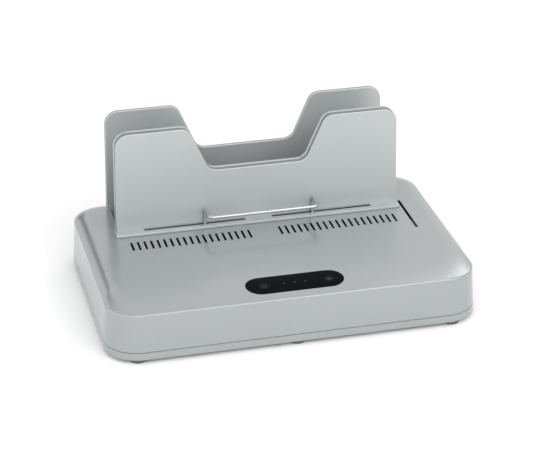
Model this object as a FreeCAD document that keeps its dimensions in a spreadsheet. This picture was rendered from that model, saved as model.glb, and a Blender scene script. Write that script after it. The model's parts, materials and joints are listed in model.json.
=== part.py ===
"""Desktop thermal binding machine, in millimetres.

X runs along the width, Y to the rear and Z up. The origin is on the floor under the middle of the base.
The front panel is drawn in its open place and slides to the rear on a carriage under the deck.
"""
import FreeCAD, Part
import math
import os
import re
import Sketcher
from FreeCAD import Placement, Rotation, Vector

# Driving dimensions
DIMENSIONS = {
    # Base shells
    "base_width": 389.0,
    "base_depth": 263.0,
    "foot_height": 4.5,
    "parting_height": 12.7,
    "parting_gap": 0.6,
    "crown_drop": 4.0,
    "deck_height": 57.3,
    "corner_radius": 36.0,
    "wall_slope": 0.0524,
    "wall": 2.8,
    "deck_thickness": 3.0,
    "floor_thickness": 2.5,
    "front_crown": 54.0,
    "side_shoulder": 14.0,
    "rear_shoulder": 14.0,
    "crown_corner_loss": 10.0,
    "rim_fillet": 1.6,
    "lip_height": 2.4,
    "lip_thickness": 2.0,
    "shell_clearance": 0.25,
    # Case screws and feet
    "boss_radius": 4.5,
    "screw_pad_height": 2.5,
    "screw_pad_radius": 7.0,
    "screw_radius": 1.5,
    "screw_head_radius": 3.0,
    "screw_head_height": 1.8,
    "screw_length": 12.0,
    "screw_clearance": 0.15,
    "case_screw_side": 26.5,
    "case_screw_gap": 34.0,
    "case_screw_setback": 31.0,
    "case_screw_inset": 33.0,
    "rubber_foot_side": 30.5,
    "rubber_foot_setback": 10.5,
    "rubber_foot_radius": 8.0,
    "rubber_plug_radius": 3.0,
    # Vents, throat and deck slot
    "vent_count": 19,
    "vent_side": 7.6,
    "vent_width": 2.5,
    "vent_inner": 16.9,
    "vent_length": 18.8,
    "vent_setback": 12.8,
    "throat_side": 44.0,
    "throat_gap": 50.7,
    "apron_side": 22.5,
    "apron_setback": 3.1,
    "slot_gap": 3.9,
    "slot_width": 3.2,
    "slot_end_gap": 2.0,
    # Upright panels
    "panel_overhang": 3.8,
    "panel_taper": 1.7,
    "panel_thickness": 11.0,
    "panel_top": 171.0,
    "panel_corner": 15.0,
    "panel_edge": 1.2,
    "panel_skin": 2.2,
    "panel_solid_band": 15.0,
    "seam_gap": 0.8,
    "seam_lip": 1.6,
    "notch_floor": 121.0,
    "notch_half_bottom": 52.0,
    "notch_half_top": 74.3,
    "notch_round": 13.0,
    "rear_panel_setback": 23.2,
    "rear_panel_thickness": 3.2,
    "rear_panel_top": 172.4,
    "rear_panel_overhang": 0.4,
    "rear_flange_depth": 9.0,
    "rear_flange_thickness": 2.5,
    "rear_flange_drop": 4.0,
    "rear_boss_radius": 3.5,
    "rear_screw_side": 44.3,
    # Foot strip and wire handle
    "strip_overhang": 1.3,
    "strip_reach": 9.2,
    "strip_thickness": 2.5,
    "strip_gap": 0.4,
    "strip_edge": 0.9,
    "slit_inner": 14.6,
    "slit_inset": 1.2,
    "slit_depth": 2.7,
    "skirt_gap": 2.0,
    "wire_radius": 1.8,
    "wire_leg_x": 59.2,
    "wire_setback": 2.6,
    "wire_height": 21.7,
    "wire_stand": 25.0,
    "wire_bend": 5.0,
    "wire_clearance": 0.2,
    "push_nut_radius": 4.0,
    "push_nut_thickness": 1.0,
    # Sliding carriage
    "panel_travel": 45.0,
    "plate_drop": 7.3,
    "plate_thickness": 1.5,
    "plate_side": 3.5,
    "plate_reach": 7.8,
    "plate_vent_x": 24.0,
    "plate_vent_length": 18.0,
    "plate_vent_width": 6.0,
    "ear_margin": 1.0,
    "ear_reach": 2.4,
    "ear_neck": 7.0,
    "rod_side": 26.5,
    "rod_radius": 4.0,
    "block_half_width": 11.0,
    "block_half_height": 8.5,
    "block_reach": 48.0,
    "block_length": 58.0,
    "bush_wall": 1.5,
    "bush_length": 10.0,
    "bush_clearance": 0.3,
    "fit_clearance": 0.05,
    "bumper_thickness": 3.0,
    "bumper_radius": 7.0,
    "bumper_gap": 0.3,
    "bracket_thickness": 8.0,
    "bracket_half_width": 9.0,
    "bracket_cap": 6.0,
    "key_thickness": 2.4,
    "key_reach": 9.0,
    "key_length": 19.0,
    "key_foot_width": 7.0,
    "key_depth": 1.0,
    "carriage_screw_side": 16.0,
    "carriage_screw_inset": 2.6,
    "block_screw_inset": 10.0,
    "block_screw_offset": 8.3,
    "key_foot_thickness": 1.2,
    # Heater stack
    "heater_drop": 11.3,
    "heater_thickness": 4.0,
    "heater_side": 2.0,
    "heater_gap": 0.8,
    "heater_overhang": 1.0,
    "element_thickness": 2.0,
    "element_margin": 4.0,
    "insulation_thickness": 6.0,
    "tray_wall": 1.5,
    "standoff_radius": 5.0,
    "standoff_x": 100.0,
    "standoff_margin": 9.0,
    "thermostat_radius": 8.0,
    "thermostat_height": 9.0,
    "thermostat_x": 36.0,
    "thermal_fuse_radius": 2.5,
    "thermal_fuse_length": 26.0,
    "thermal_fuse_x": -30.0,
    # Control strip
    "lens_half_length": 51.3,
    "lens_half_width": 16.0,
    "lens_x": 2.5,
    "lens_setback": 30.3,
    "lens_thickness": 2.0,
    "lens_recess": 0.2,
    "lens_gap": 0.2,
    "lens_ledge": 1.5,
    "button_radius": 6.0,
    "button_gap": 0.3,
    "button_travel": 0.8,
    "button_rest": 0.05,
    "button_flange": 1.2,
    "button_flange_drop": 2.0,
    "button_flange_thickness": 1.0,
    "stem_radius": 2.2,
    "start_x": 38.5,
    "mode_x": -29.5,
    "button_shift": 1.0,
    "light_pipe_radius": 1.4,
    "light_pitch": 11.0,
    "light_count": 3,
    "control_board_drop": 16.3,
    "board_thickness": 1.6,
    "control_board_half_length": 62.0,
    "control_board_half_width": 14.0,
    "control_screw_reach": 57.5,
    "tact_half": 3.1,
    "tact_height": 3.6,
    "tact_plunger": 1.4,
    "buzzer_radius": 6.0,
    "buzzer_height": 7.0,
    # Power supply
    "power_board_side": 112.5,
    "power_board_setback": 19.5,
    "power_board_length": 74.0,
    "power_board_width": 48.0,
    "power_board_lift": 5.0,
    "power_post_radius": 3.2,
    "power_post_inset": 4.0,
    "transformer_length": 34.0,
    "transformer_width": 30.0,
    "transformer_height": 26.0,
    "transformer_core": 12.0,
    "relay_length": 19.0,
    "relay_width": 15.5,
    "relay_height": 15.5,
    "capacitor_radius": 6.5,
    "capacitor_height": 22.0,
    "fuse_radius": 2.6,
    "fuse_length": 20.0,
    # Mains inlet and switch in the rear wall
    "inlet_side": 59.5,
    "inlet_height": 27.0,
    "inlet_half_width": 14.0,
    "inlet_half_height": 10.2,
    "inlet_depth": 20.0,
    "inlet_wall": 2.0,
    "inlet_flange": 1.0,
    "inlet_setback": 1.6,
    "socket_depth": 16.0,
    "pin_width": 4.0,
    "pin_thickness": 2.0,
    "pin_reach": 13.0,
    "pin_tail": 7.0,
    "pin_spread": 7.0,
    "switch_spacing": 47.0,
    "switch_half_width": 9.5,
    "switch_half_height": 8.5,
    "switch_depth": 18.0,
    "switch_setback": 2.6,
    "switch_wall": 2.0,
    "rocker_clearance": 0.4,
    "rocker_room": 1.1,
    "rocker_front": 4.0,
    "rocker_back": 2.0,
    "rocker_pivot_depth": 5.0,
    "rocker_pin_radius": 1.4,
    "rocker_tilt": 9.0,
}

# Places that follow the driving dimensions
FOLLOWING = {
    "rim_height": "deck_height - crown_drop",
    "plate_bottom": "deck_height - plate_drop",
    "heater_top": "deck_height - heater_drop",
    "control_board_height": "deck_height - control_board_drop",
    "wire_rise": "deck_height + wire_height",
    "carriage_screw_x": "skirt_half - carriage_screw_side",
    "rear_screw_x": "panel_half_bottom - rear_screw_side",
    "case_screw_x": "base_width / 2 - case_screw_side",
    "case_screw_front": "case_screw_gap - block_front",
    "case_screw_rear": "base_depth / 2 - case_screw_setback",
    "case_screw_middle": "-lens_y - case_screw_inset",
    "rubber_foot_x": "base_width / 2 - rubber_foot_side",
    "rubber_foot_y": "base_depth / 2 - rubber_foot_setback",
    "vent_pitch": "(throat_half - vent_side - vent_inner) / (vent_count - 1)",
    "vent_front": "vent_rear - vent_length",
    "vent_rear": "strip_front - vent_setback",
    "throat_half": "base_width / 2 - throat_side",
    "apron_half": "throat_half - apron_side",
    "apron_front": "strip_front + apron_setback",
    "slot_x": "strip_half + slot_gap",
    "slot_front": "key_front - slot_end_gap",
    "panel_half_bottom": "throat_half + panel_overhang",
    "panel_half_top": "panel_half_bottom - panel_taper",
    "panel_front": "rear_panel_front - throat_gap - panel_thickness",
    "rear_panel_front": "base_depth / 2 - rear_panel_setback",
    "rear_panel_half_bottom": "panel_half_bottom + rear_panel_overhang",
    "strip_half": "panel_half_bottom + strip_overhang",
    "strip_front": "panel_front - strip_reach",
    "slit_outer": "skirt_half - slit_inset",
    "slit_front": "panel_front - slit_depth",
    "skirt_half": "apron_half - skirt_gap",
    "wire_leg_y": "panel_front - wire_setback",
    "wire_reach": "wire_leg_y - wire_stand",
    "plate_half": "throat_half - plate_side",
    "plate_front": "vent_front - plate_reach",
    "ear_half": "rod_x + block_half_width + ear_margin",
    "ear_rear": "panel_front + ear_reach",
    "ear_inner": "rod_x - block_half_width - ear_neck",
    "rod_x": "base_width / 2 - rod_side",
    "block_front": "plate_front - block_reach",
    "key_front": "plate_front - key_reach",
    "heater_half": "throat_half - heater_side",
    "lens_y": "lens_setback - base_depth / 2",
    "button_clear": "button_travel + button_rest",
    "button_y": "lens_y - button_shift",
    "power_board_x": "base_width / 2 - power_board_side",
    "power_board_y": "power_board_setback - base_depth / 2",
    "inlet_x": "inlet_side - base_width / 2",
    "switch_x": "inlet_x + switch_spacing",
}

DOC = FreeCAD.newDocument("binding_machine")
SHEET = DOC.addObject("Spreadsheet::Sheet", "dims")
ROWS = {alias: row for row, alias in enumerate(list(DIMENSIONS) + list(FOLLOWING), start=1)}
for alias, row in ROWS.items():
    SHEET.set(f"A{row}", alias)
    SHEET.setAlias(f"B{row}", alias)
for alias, size in DIMENSIONS.items():
    SHEET.set(f"B{ROWS[alias]}", str(size))
for alias, formula in FOLLOWING.items():
    SHEET.set(f"B{ROWS[alias]}", f"={formula}")
PROBE = DOC.addObject("App::FeaturePython", "probe")
PROBE.addProperty("App::PropertyFloat", "reading")
DOC.recompute()

# Heights and places that several pieces share
FLOOR_TOP = "(foot_height + floor_thickness)"
PAD_TOP = f"({FLOOR_TOP} + screw_pad_height)"
DECK_UNDER = "(deck_height - deck_thickness)"
PLATE_TOP = "(plate_bottom + plate_thickness)"
PANEL_REAR = "(panel_front + panel_thickness)"
STRIP_BOTTOM = "(deck_height + strip_gap)"
STRIP_TOP = f"({STRIP_BOTTOM} + strip_thickness)"
SKIRT_FRONT = "(panel_front + strip_edge)"
REAR_PANEL_BACK = "(rear_panel_front + rear_panel_thickness)"
THROAT_FRONT = f"({PANEL_REAR} + heater_gap)"
THROAT_REAR = f"({REAR_PANEL_BACK} + shell_clearance)"
HEATER_UNDER = "(heater_top - heater_thickness)"
HEATER_REAR = "(rear_panel_front - heater_gap)"
ELEMENT_UNDER = f"({HEATER_UNDER} - element_thickness)"
INSULATION_UNDER = f"({ELEMENT_UNDER} - insulation_thickness)"
TRAY_UNDER = f"({INSULATION_UNDER} - tray_wall)"
TRAY_FRONT = f"({THROAT_FRONT} + heater_overhang)"
TRAY_REAR = f"({HEATER_REAR} - heater_overhang)"
TRAY_HALF = "(heater_half - heater_overhang)"
BLOCK_REAR = "(block_front + block_length)"
FRONT_STOP = "(block_front - bumper_gap)"
REAR_STOP = f"({BLOCK_REAR} + panel_travel + bumper_gap)"
CONTROL_TOP = "(control_board_height + board_thickness)"
TACT_TOP = f"({CONTROL_TOP} + tact_height + tact_plunger)"
POWER_TOP = f"({FLOOR_TOP} + power_board_lift + board_thickness)"
INLET_FACE = "(base_depth / 2 - inlet_setback)"
SWITCH_FACE = "(base_depth / 2 - switch_setback)"
ROD_HEIGHT = "(plate_bottom - block_half_height)"
BORE_RADIUS = "(rod_radius + bush_clearance + bush_wall + fit_clearance)"

# Places along a row of four screws, as shares of the outer screw's distance from the middle
FOUR_IN_A_ROW = (-1, -0.35, 0.35, 1)
# The share of a screw's length that goes into the piece it holds
SCREW_BITE = 0.75
# Vents in each half of the carriage plate, and where the first stands, as a share of their pitch
PLATE_VENTS = 5
FIRST_PLATE_VENT = 0.75

NODES = []


def linked(expression):
    """Point every dimension name in an expression at its cell."""
    def cell(word):
        return f"dims.{word[0]}" if word[0] in ROWS else word[0]
    return re.sub(r"[a-z][a-z_0-9]*", cell, str(expression))


def bind(item, **sizes):
    """Drive an object's properties from the sheet, and give the object back."""
    for name, expression in sizes.items():
        item.setExpression(name, linked(expression))
    return item


def place(item, x="0", y="0", z="0"):
    """Drive an object's place from the sheet."""
    for axis, expression in (("x", x), ("y", y), ("z", z)):
        item.setExpression(f"Placement.Base.{axis}", linked(expression))
    return item


def number(expression):
    """Work out an expression's value for shapes that are set directly."""
    PROBE.setExpression("reading", linked(expression))
    PROBE.recompute()
    return PROBE.reading


def node(item, name):
    """Name a finished sub-part and list it for the files."""
    item.Label = name
    NODES.append(item)
    return item


# Building blocks

def box(name, x, y, z):
    """A block between pairs of expressions along X, Y and Z."""
    item = DOC.addObject("Part::Box", name)
    bind(item, Length=f"({x[1]}) - ({x[0]})", Width=f"({y[1]}) - ({y[0]})", Height=f"({z[1]}) - ({z[0]})")
    return place(item, x[0], y[0], z[0])


def rod(name, start, radius, length, axis="z"):
    """A cylinder from a start point along +X, +Y or +Z."""
    turns = {"x": Rotation(Vector(0, 1, 0), 90), "y": Rotation(Vector(1, 0, 0), -90), "z": Rotation()}
    item = DOC.addObject("Part::Cylinder", name)
    item.Placement = Placement(Vector(), turns[axis])
    bind(item, Radius=radius, Height=length)
    return place(item, *start)


def fuse(name, items):
    """One solid from several that overlap or touch."""
    item = DOC.addObject("Part::MultiFuse", name)
    item.Shapes = items
    return item


def group(name, items):
    """Separate solids that share one node."""
    item = DOC.addObject("Part::Compound", name)
    item.Links = items
    return item


def cut(name, base, tools):
    """A solid with one or more tools taken out of it."""
    item = DOC.addObject("Part::Cut", name)
    item.Base = base
    item.Tool = tools[0] if len(tools) == 1 else fuse(name + "_tools", tools)
    return item


def common(name, first, second):
    """What two solids share."""
    item = DOC.addObject("Part::Common", name)
    item.Base = first
    item.Tool = second
    return item


def new_body(name):
    """An empty sketch-and-feature body."""
    return DOC.addObject("PartDesign::Body", name)


def new_sketch(body, name, plane, offset="0"):
    """A sketch on one of the body's own origin planes, moved along that plane's normal."""
    sketch = body.newObject("Sketcher::SketchObject", name)
    support = [item for item in body.Origin.OriginFeatures if item.Role == plane][0]
    sketch.AttachmentSupport = [(support, "")]
    sketch.MapMode = "FlatFace"
    sketch.setExpression("AttachmentOffset.Base.z", linked(offset))
    return sketch


def dimension(sketch, kind, where, expression):
    """Add one driving dimension to a sketch."""
    index = sketch.addConstraint(Sketcher.Constraint(kind, *where, number(expression)))
    sketch.setExpression(f"Constraints[{index}]", linked(expression))


def polygon(sketch, points):
    """A closed outline whose corners are pairs of expressions."""
    spots = [Vector(number(x), number(y), 0) for x, y in points]
    for index, spot in enumerate(spots):
        sketch.addGeometry(Part.LineSegment(spot, spots[(index + 1) % len(spots)]))
    for index in range(len(spots)):
        following = (index + 1) % len(spots)
        sketch.addConstraint(Sketcher.Constraint("Coincident", index, 2, following, 1))
    for index, (x, y) in enumerate(points):
        dimension(sketch, "DistanceX", (-1, 1, index, 1), x)
        dimension(sketch, "DistanceY", (-1, 1, index, 1), y)


def rounded_rectangle(sketch, half_x, front, rear, radius):
    """A rectangle with round corners, symmetrical about the sketch's upright axis."""
    half, low, high, bend = (number(item) for item in (half_x, front, rear, radius))
    lines = (
        ((-half + bend, low), (half - bend, low)),
        ((half, low + bend), (half, high - bend)),
        ((half - bend, high), (-half + bend, high)),
        ((-half, high - bend), (-half, low + bend)),
    )
    for start, end in lines:
        sketch.addGeometry(Part.LineSegment(Vector(*start, 0), Vector(*end, 0)))
    quarter = math.pi / 2
    centres = ((half - bend, low + bend, 3), (half - bend, high - bend, 0),
               (-half + bend, high - bend, 1), (-half + bend, low + bend, 2))
    for x, y, step in centres:
        circle = Part.Circle(Vector(x, y, 0), Vector(0, 0, 1), bend)
        sketch.addGeometry(Part.ArcOfCircle(circle, step * quarter, (step + 1) * quarter))
    for index in range(4):
        sketch.addConstraint(Sketcher.Constraint("Tangent", index, 2, 4 + index, 1))
        sketch.addConstraint(Sketcher.Constraint("Tangent", 4 + index, 2, (index + 1) % 4, 1))
    for index in (5, 6, 7):
        sketch.addConstraint(Sketcher.Constraint("Equal", 4, index))
    dimension(sketch, "Radius", (4,), radius)
    dimension(sketch, "DistanceY", (-1, 1, 0, 1), front)
    dimension(sketch, "DistanceX", (-1, 1, 1, 1), half_x)
    dimension(sketch, "DistanceY", (-1, 1, 2, 1), rear)
    dimension(sketch, "DistanceX", (-1, 1, 3, 1), f"-({half_x})")


def pad(body, sketch, name, length, reverse=False):
    """Raise a sketch into a solid."""
    feature = body.newObject("PartDesign::Pad", name)
    feature.Profile = sketch
    feature.Reversed = reverse
    bind(feature, Length=length)
    DOC.recompute()
    return feature


def round_edges(body, name, radius, chosen):
    """Round the edges of a body that a test picks."""
    base = body.Tip
    names = [f"Edge{index}" for index, edge in enumerate(base.Shape.Edges, start=1) if chosen(edge)]
    feature = body.newObject("PartDesign::Fillet", name)
    feature.Base = (base, names)
    bind(feature, Radius=radius)
    DOC.recompute()
    return feature


# Base shells

def half_width(height, inset="0"):
    """Half of the base's width at a height, up its drafted wall."""
    return f"(base_width / 2 - (({height}) - foot_height) * wall_slope - ({inset}))"


def half_depth(height, inset="0"):
    """Half of the base's depth at a height."""
    return f"(base_depth / 2 - (({height}) - foot_height) * wall_slope - ({inset}))"


def corner(height, inset="0"):
    """The plan radius of the base's corners at a height."""
    return f"(corner_radius - (({height}) - foot_height) * wall_slope - ({inset}))"


def wall_section(body, name, height, inset):
    """The base's outline at a height, set in from the outer wall."""
    sketch = new_sketch(body, name, "XY_Plane", height)
    depth = half_depth(height, inset)
    rounded_rectangle(sketch, half_width(height, inset), f"-{depth}", depth, corner(height, inset))
    return sketch


def crown_section(body, name, share, inset, lower):
    """One outline of the crown, a share of the way from the rim to the flat deck."""
    drop = f"(deck_height - rim_height) * {(1 - share) ** 2}"
    sketch = new_sketch(body, name, "XY_Plane", f"deck_height - {drop} - ({lower})")
    depth = half_depth("rim_height", inset)
    half = f"{half_width('rim_height', inset)} - {share} * side_shoulder"
    front = f"-{depth} + {share} * front_crown"
    rear = f"{depth} - {share} * rear_shoulder"
    radius = f"{corner('rim_height', inset)} - {share} * crown_corner_loss"
    rounded_rectangle(sketch, half, front, rear, radius)
    return sketch


def loft(body, name, sections, ruled):
    """A solid skin through a stack of outlines."""
    feature = body.newObject("PartDesign::AdditiveLoft", name)
    feature.Profile = sections[0]
    feature.Sections = sections[1:]
    feature.Ruled = ruled
    DOC.recompute()
    return feature


def cover_form(name, bottom, inset="0", lower="0"):
    """The cover's filled form: drafted walls to the rim, then a crown that levels out into the deck."""
    body = new_body(name)
    low = wall_section(body, name + "_low", bottom, inset)
    high = crown_section(body, name + "_rim", 0.0, inset, lower)
    loft(body, name + "_wall", [low, high], True)
    steps = [crown_section(body, f"{name}_step_{step}", step / 4, inset, lower) for step in range(5)]
    loft(body, name + "_crown", steps, False)
    return body


def ring_form(name, bottom, top, inset="0"):
    """A filled slice of the drafted base between two heights."""
    body = new_body(name)
    low = wall_section(body, name + "_low", bottom, inset)
    high = wall_section(body, name + "_high", top, inset)
    loft(body, name + "_wall", [low, high], True)
    return body


def case_screw_spots():
    """Where the case screws stand: three along the front and two at the rear."""
    front = [(f"{side} * case_screw_x", "-case_screw_front") for side in (-1, 1)]
    rear = [(f"{side} * case_screw_x", "case_screw_rear") for side in (-1, 1)]
    return front + rear + [("0", "-case_screw_middle")]


def power_post_spots():
    """Where the power board's four posts stand."""
    low_x = "(power_board_x + power_post_inset)"
    high_x = "(power_board_x + power_board_length - power_post_inset)"
    low_y = "(power_board_y + power_post_inset)"
    high_y = "(power_board_y + power_board_width - power_post_inset)"
    return [(x, y) for x in (low_x, high_x) for y in (low_y, high_y)]


def rubber_foot_spots():
    """Three feet along the front edge and three along the rear."""
    return [(f"{column} * rubber_foot_x", f"{row} * rubber_foot_y") for row in (-1, 1)
            for column in (-1, 0, 1)]


def control_screw_spots():
    """The control board's two screws, one past each end of the lens."""
    return [(f"lens_x + {side} * control_screw_reach", "lens_y") for side in (-1, 1)]


def rear_screw_spots():
    """Four screws along the rear panel's flange."""
    row = f"({REAR_PANEL_BACK} + rear_flange_depth / 2)"
    return [(f"{share} * rear_screw_x", row) for share in FOUR_IN_A_ROW]


def bottom_pan():
    """The tray that carries everything, with a lip that locates the cover."""
    lip_inset = "(wall + shell_clearance)"
    lip_top = "(parting_height + lip_height)"
    outer = ring_form("pan_outer", "foot_height", "parting_height - parting_gap")
    lip = ring_form("pan_lip", FLOOR_TOP, lip_top, lip_inset)
    inner = ring_form("pan_inner", FLOOR_TOP, f"{lip_top} + wall", f"{lip_inset} + lip_thickness")
    shell = cut("pan_shell", fuse("pan_filled", [outer, lip]), [inner])
    raised = [rod(f"pan_pad_{index}", (x, y, FLOOR_TOP), "screw_pad_radius", "screw_pad_height")
              for index, (x, y) in enumerate(case_screw_spots())]
    raised += [rod(f"pan_post_{index}", (x, y, FLOOR_TOP), "power_post_radius", "power_board_lift")
               for index, (x, y) in enumerate(power_post_spots())]
    holes = []
    for index, (x, y) in enumerate(case_screw_spots()):
        depth = "floor_thickness + screw_pad_height"
        holes.append(rod(f"pan_hole_{index}", (x, y, "foot_height"), "screw_radius + screw_clearance", depth))
        sunk = "screw_head_radius + 2 * screw_clearance"
        holes.append(rod(f"pan_sink_{index}", (x, y, "foot_height"), sunk, "floor_thickness"))
    for index, (x, y) in enumerate(power_post_spots()):
        holes.append(rod(f"post_hole_{index}", (x, y, FLOOR_TOP), "screw_radius + screw_clearance",
                         "power_board_lift"))
    for index, (x, y) in enumerate(rubber_foot_spots()):
        hole = "rubber_plug_radius + shell_clearance"
        holes.append(rod(f"foot_hole_{index}", (x, y, "foot_height"), hole, "floor_thickness"))
    node(cut("bottom_pan", fuse("pan_raised", [shell] + raised), holes), "bottom_pan")


def stadium(name, half_length, half_width, bottom, top):
    """An upright prism with two straight sides and round ends, at the control lens."""
    straight = f"(({half_length}) - ({half_width}))"
    height = f"({top}) - ({bottom})"
    middle = box(name + "_middle", (f"lens_x - {straight}", f"lens_x + {straight}"),
                 (f"lens_y - ({half_width})", f"lens_y + ({half_width})"), (bottom, top))
    ends = [rod(f"{name}_end_{side}", (f"lens_x + ({side}) * {straight}", "lens_y", bottom), half_width,
                height)
            for side in (-1, 1)]
    return fuse(name, [middle] + ends)


def vent_cutter():
    """Two rows of narrow slots through the deck, mirrored about the middle."""
    body = new_body("vent_row")
    sketch = new_sketch(body, "vent_outline", "XY_Plane", "deck_height - 2 * deck_thickness")
    left = "vent_inner - vent_width / 2"
    right = "vent_inner + vent_width / 2"
    polygon(sketch, [(left, "vent_front"), (right, "vent_front"), (right, "vent_rear"), (left, "vent_rear")])
    slot = pad(body, sketch, "vent_slot", "3 * deck_thickness")
    row = body.newObject("PartDesign::LinearPattern", "vent_pattern")
    row.Originals = [slot]
    row.Direction = (sketch, ["H_Axis"])
    bind(row, Length="(vent_count - 1) * vent_pitch", Occurrences="vent_count")
    body.Tip = row
    mirrored = DOC.addObject("Part::Mirroring", "vent_row_left")
    mirrored.Source = body
    mirrored.Normal = Vector(1, 0, 0)
    return [body, mirrored]


def deck_cutters(seat):
    """Everything that opens the deck: throat, apron, vents, guide slot and the lens's seat and window."""
    low, high = f"({DECK_UNDER} - deck_thickness)", "(deck_height + deck_thickness)"
    throat = box("throat_cut", ("-throat_half", "throat_half"), (THROAT_FRONT, THROAT_REAR), (low, high))
    apron = box("apron_cut", ("-apron_half", "apron_half"), ("apron_front", f"{THROAT_FRONT} + wall"),
                (low, high))
    slot_end = "key_front + key_length + panel_travel + slot_end_gap"
    slot = box("slot_cut", ("slot_x - slot_width / 2", "slot_x + slot_width / 2"), ("slot_front", slot_end),
               (low, high))
    well = cut("lens_well", stadium("lens_pocket", "lens_half_length", "lens_half_width", low, high), [seat])
    window = stadium("lens_window", "lens_half_length - lens_ledge", "lens_half_width - lens_ledge",
                     f"{DECK_UNDER} - 2 * deck_thickness", high)
    return [throat, apron, slot, well, window] + vent_cutter()


def rear_cutters():
    """Openings in the rear wall for the mains inlet and the switch."""
    reach = ("base_depth / 2 - 4 * wall", "base_depth / 2 + wall")
    cutters = []
    for name, x, half_x, half_z in (
        ("inlet", "inlet_x", "inlet_half_width + inlet_flange", "inlet_half_height + inlet_flange"),
        ("switch", "switch_x", "switch_half_width", "switch_half_height"),
    ):
        across = (f"{x} - ({half_x}) - fit_clearance", f"{x} + {half_x} + fit_clearance")
        upright = (f"inlet_height - ({half_z}) - fit_clearance", f"inlet_height + {half_z} + fit_clearance")
        cutters.append(box(f"{name}_wall_cut", across, reach, upright))
    return cutters


def cover_bosses():
    """Screw bosses under the deck, and the bores in them."""
    bosses, bores = [], []
    depth = f"(deck_height - {PAD_TOP} - deck_thickness / 2)"
    for index, (x, y) in enumerate(case_screw_spots()):
        bosses.append(rod(f"case_boss_{index}", (x, y, PAD_TOP), "boss_radius", depth))
        bores.append(rod(f"case_bore_{index}", (x, y, PAD_TOP), "screw_radius + screw_clearance",
                         "screw_length"))
    for index, (x, y) in enumerate(control_screw_spots()):
        height = f"(deck_height - {CONTROL_TOP} - deck_thickness / 2 - lens_thickness)"
        bosses.append(rod(f"control_boss_{index}", (x, y, CONTROL_TOP), "rear_boss_radius", height))
        bores.append(rod(f"control_bore_{index}", (x, y, CONTROL_TOP), "screw_radius + screw_clearance",
                         "screw_length / 2"))
    for index, (x, y) in enumerate(rear_screw_spots()):
        bottom = f"({DECK_UNDER} - rear_flange_drop)"
        bosses.append(rod(f"rear_boss_{index}", (x, y, bottom), "rear_boss_radius",
                          "rear_flange_drop + fit_clearance"))
        bores.append(rod(f"rear_bore_{index}", (x, y, bottom), "screw_radius + screw_clearance",
                         "rear_flange_drop"))
    return bosses, bores


def top_cover():
    """The silver moulding: drafted walls, crowned front, flat deck with its openings, and screw bosses."""
    outer = cover_form("cover_outer", "parting_height")
    rim = number("rim_height")
    level = 0.01
    round_edges(outer, "cover_rim", "rim_fillet",
                lambda edge: abs(edge.BoundBox.ZMax - rim) < level and abs(edge.BoundBox.ZMin - rim) < level)
    inner = cover_form("cover_inner", "parting_height - wall", "wall", "deck_thickness")
    seat = cover_form("lens_seat", "parting_height", "0", "(lens_recess + lens_thickness + fit_clearance)")
    bosses, bores = cover_bosses()
    shell = fuse("cover_bossed", [cut("cover_shell", outer, [inner])] + bosses)
    opened = cut("cover_opened", shell, deck_cutters(seat))
    node(cut("top_cover", opened, rear_cutters() + bores), "top_cover")


def screw(name, x, y, seat, length, up=True):
    """A pan-head screw whose head bears on a seat, pointing up or down."""
    if up:
        head = rod(name + "_head", (x, y, f"{seat} - screw_head_height"), "screw_head_radius",
                   "screw_head_height")
        shank = rod(name + "_shank", (x, y, seat), "screw_radius", length)
    else:
        head = rod(name + "_head", (x, y, seat), "screw_head_radius", "screw_head_height")
        shank = rod(name + "_shank", (x, y, f"{seat} - ({length})"), "screw_radius", length)
    return fuse(name, [head, shank])


def case_fasteners():
    """Case screws from below, and the rubber feet that plug into the pan."""
    screws = [screw(f"case_screw_{index}", x, y, FLOOR_TOP, "screw_length")
              for index, (x, y) in enumerate(case_screw_spots())]
    node(group("case_screws", screws), "case_screws")
    feet = []
    for index, (x, y) in enumerate(rubber_foot_spots()):
        disc = rod(f"foot_disc_{index}", (x, y, "0"), "rubber_foot_radius", "foot_height")
        plug = rod(f"foot_plug_{index}", (x, y, "0"), "rubber_plug_radius", FLOOR_TOP)
        feet.append(fuse(f"foot_{index}", [disc, plug]))
    node(group("rubber_feet", feet), "rubber_feet")


# Upright panels

def notched_panel(name, front, depth, bottom, top, half_bottom, inset="0", lower=None):
    """A plate with round top corners and a wide notch, drawn in the X-Z plane and raised along Y."""
    body = new_body(name)
    sketch = new_sketch(body, name + "_outline", "XZ_Plane", f"-({front})")
    crest = f"({top} - ({inset}))"
    outer_low = f"({half_bottom} - ({inset}))"
    outer_top = f"(panel_half_top - ({inset}))"
    notch_top = f"(notch_half_top + ({inset}))"
    notch_low = f"(notch_half_bottom + ({inset}))"
    dip = f"(notch_floor - ({inset}))"
    right = [(outer_low, bottom), (outer_top, crest), (notch_top, crest), (notch_low, dip)]
    if lower:
        right = [(lower[0], lower[1]), (lower[0], bottom)] + right
    left = [(f"-{x}", z) for x, z in reversed(right)]
    polygon(sketch, right + left)
    pad(body, sketch, name + "_plate", depth, reverse=True)
    between = number("(panel_half_top + notch_half_top) / 2")
    middle = number(f"({crest} + {dip}) / 2")
    deepest = number(f"{dip} - wall")

    def through(edge):
        tiny = 1e-6
        return edge.BoundBox.XLength < tiny and edge.BoundBox.ZLength < tiny

    def spot(edge):
        return abs(edge.BoundBox.XMin), edge.BoundBox.ZMin

    round_edges(body, name + "_corners", f"panel_corner - ({inset})",
                lambda edge: through(edge) and spot(edge)[0] > between and spot(edge)[1] > middle)
    round_edges(body, name + "_notch_top", f"notch_round - ({inset})",
                lambda edge: through(edge) and spot(edge)[0] < between and spot(edge)[1] > middle)
    round_edges(body, name + "_notch_low", f"notch_round + ({inset})",
                lambda edge: through(edge) and spot(edge)[0] < between and deepest < spot(edge)[1] < middle)
    return body


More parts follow.
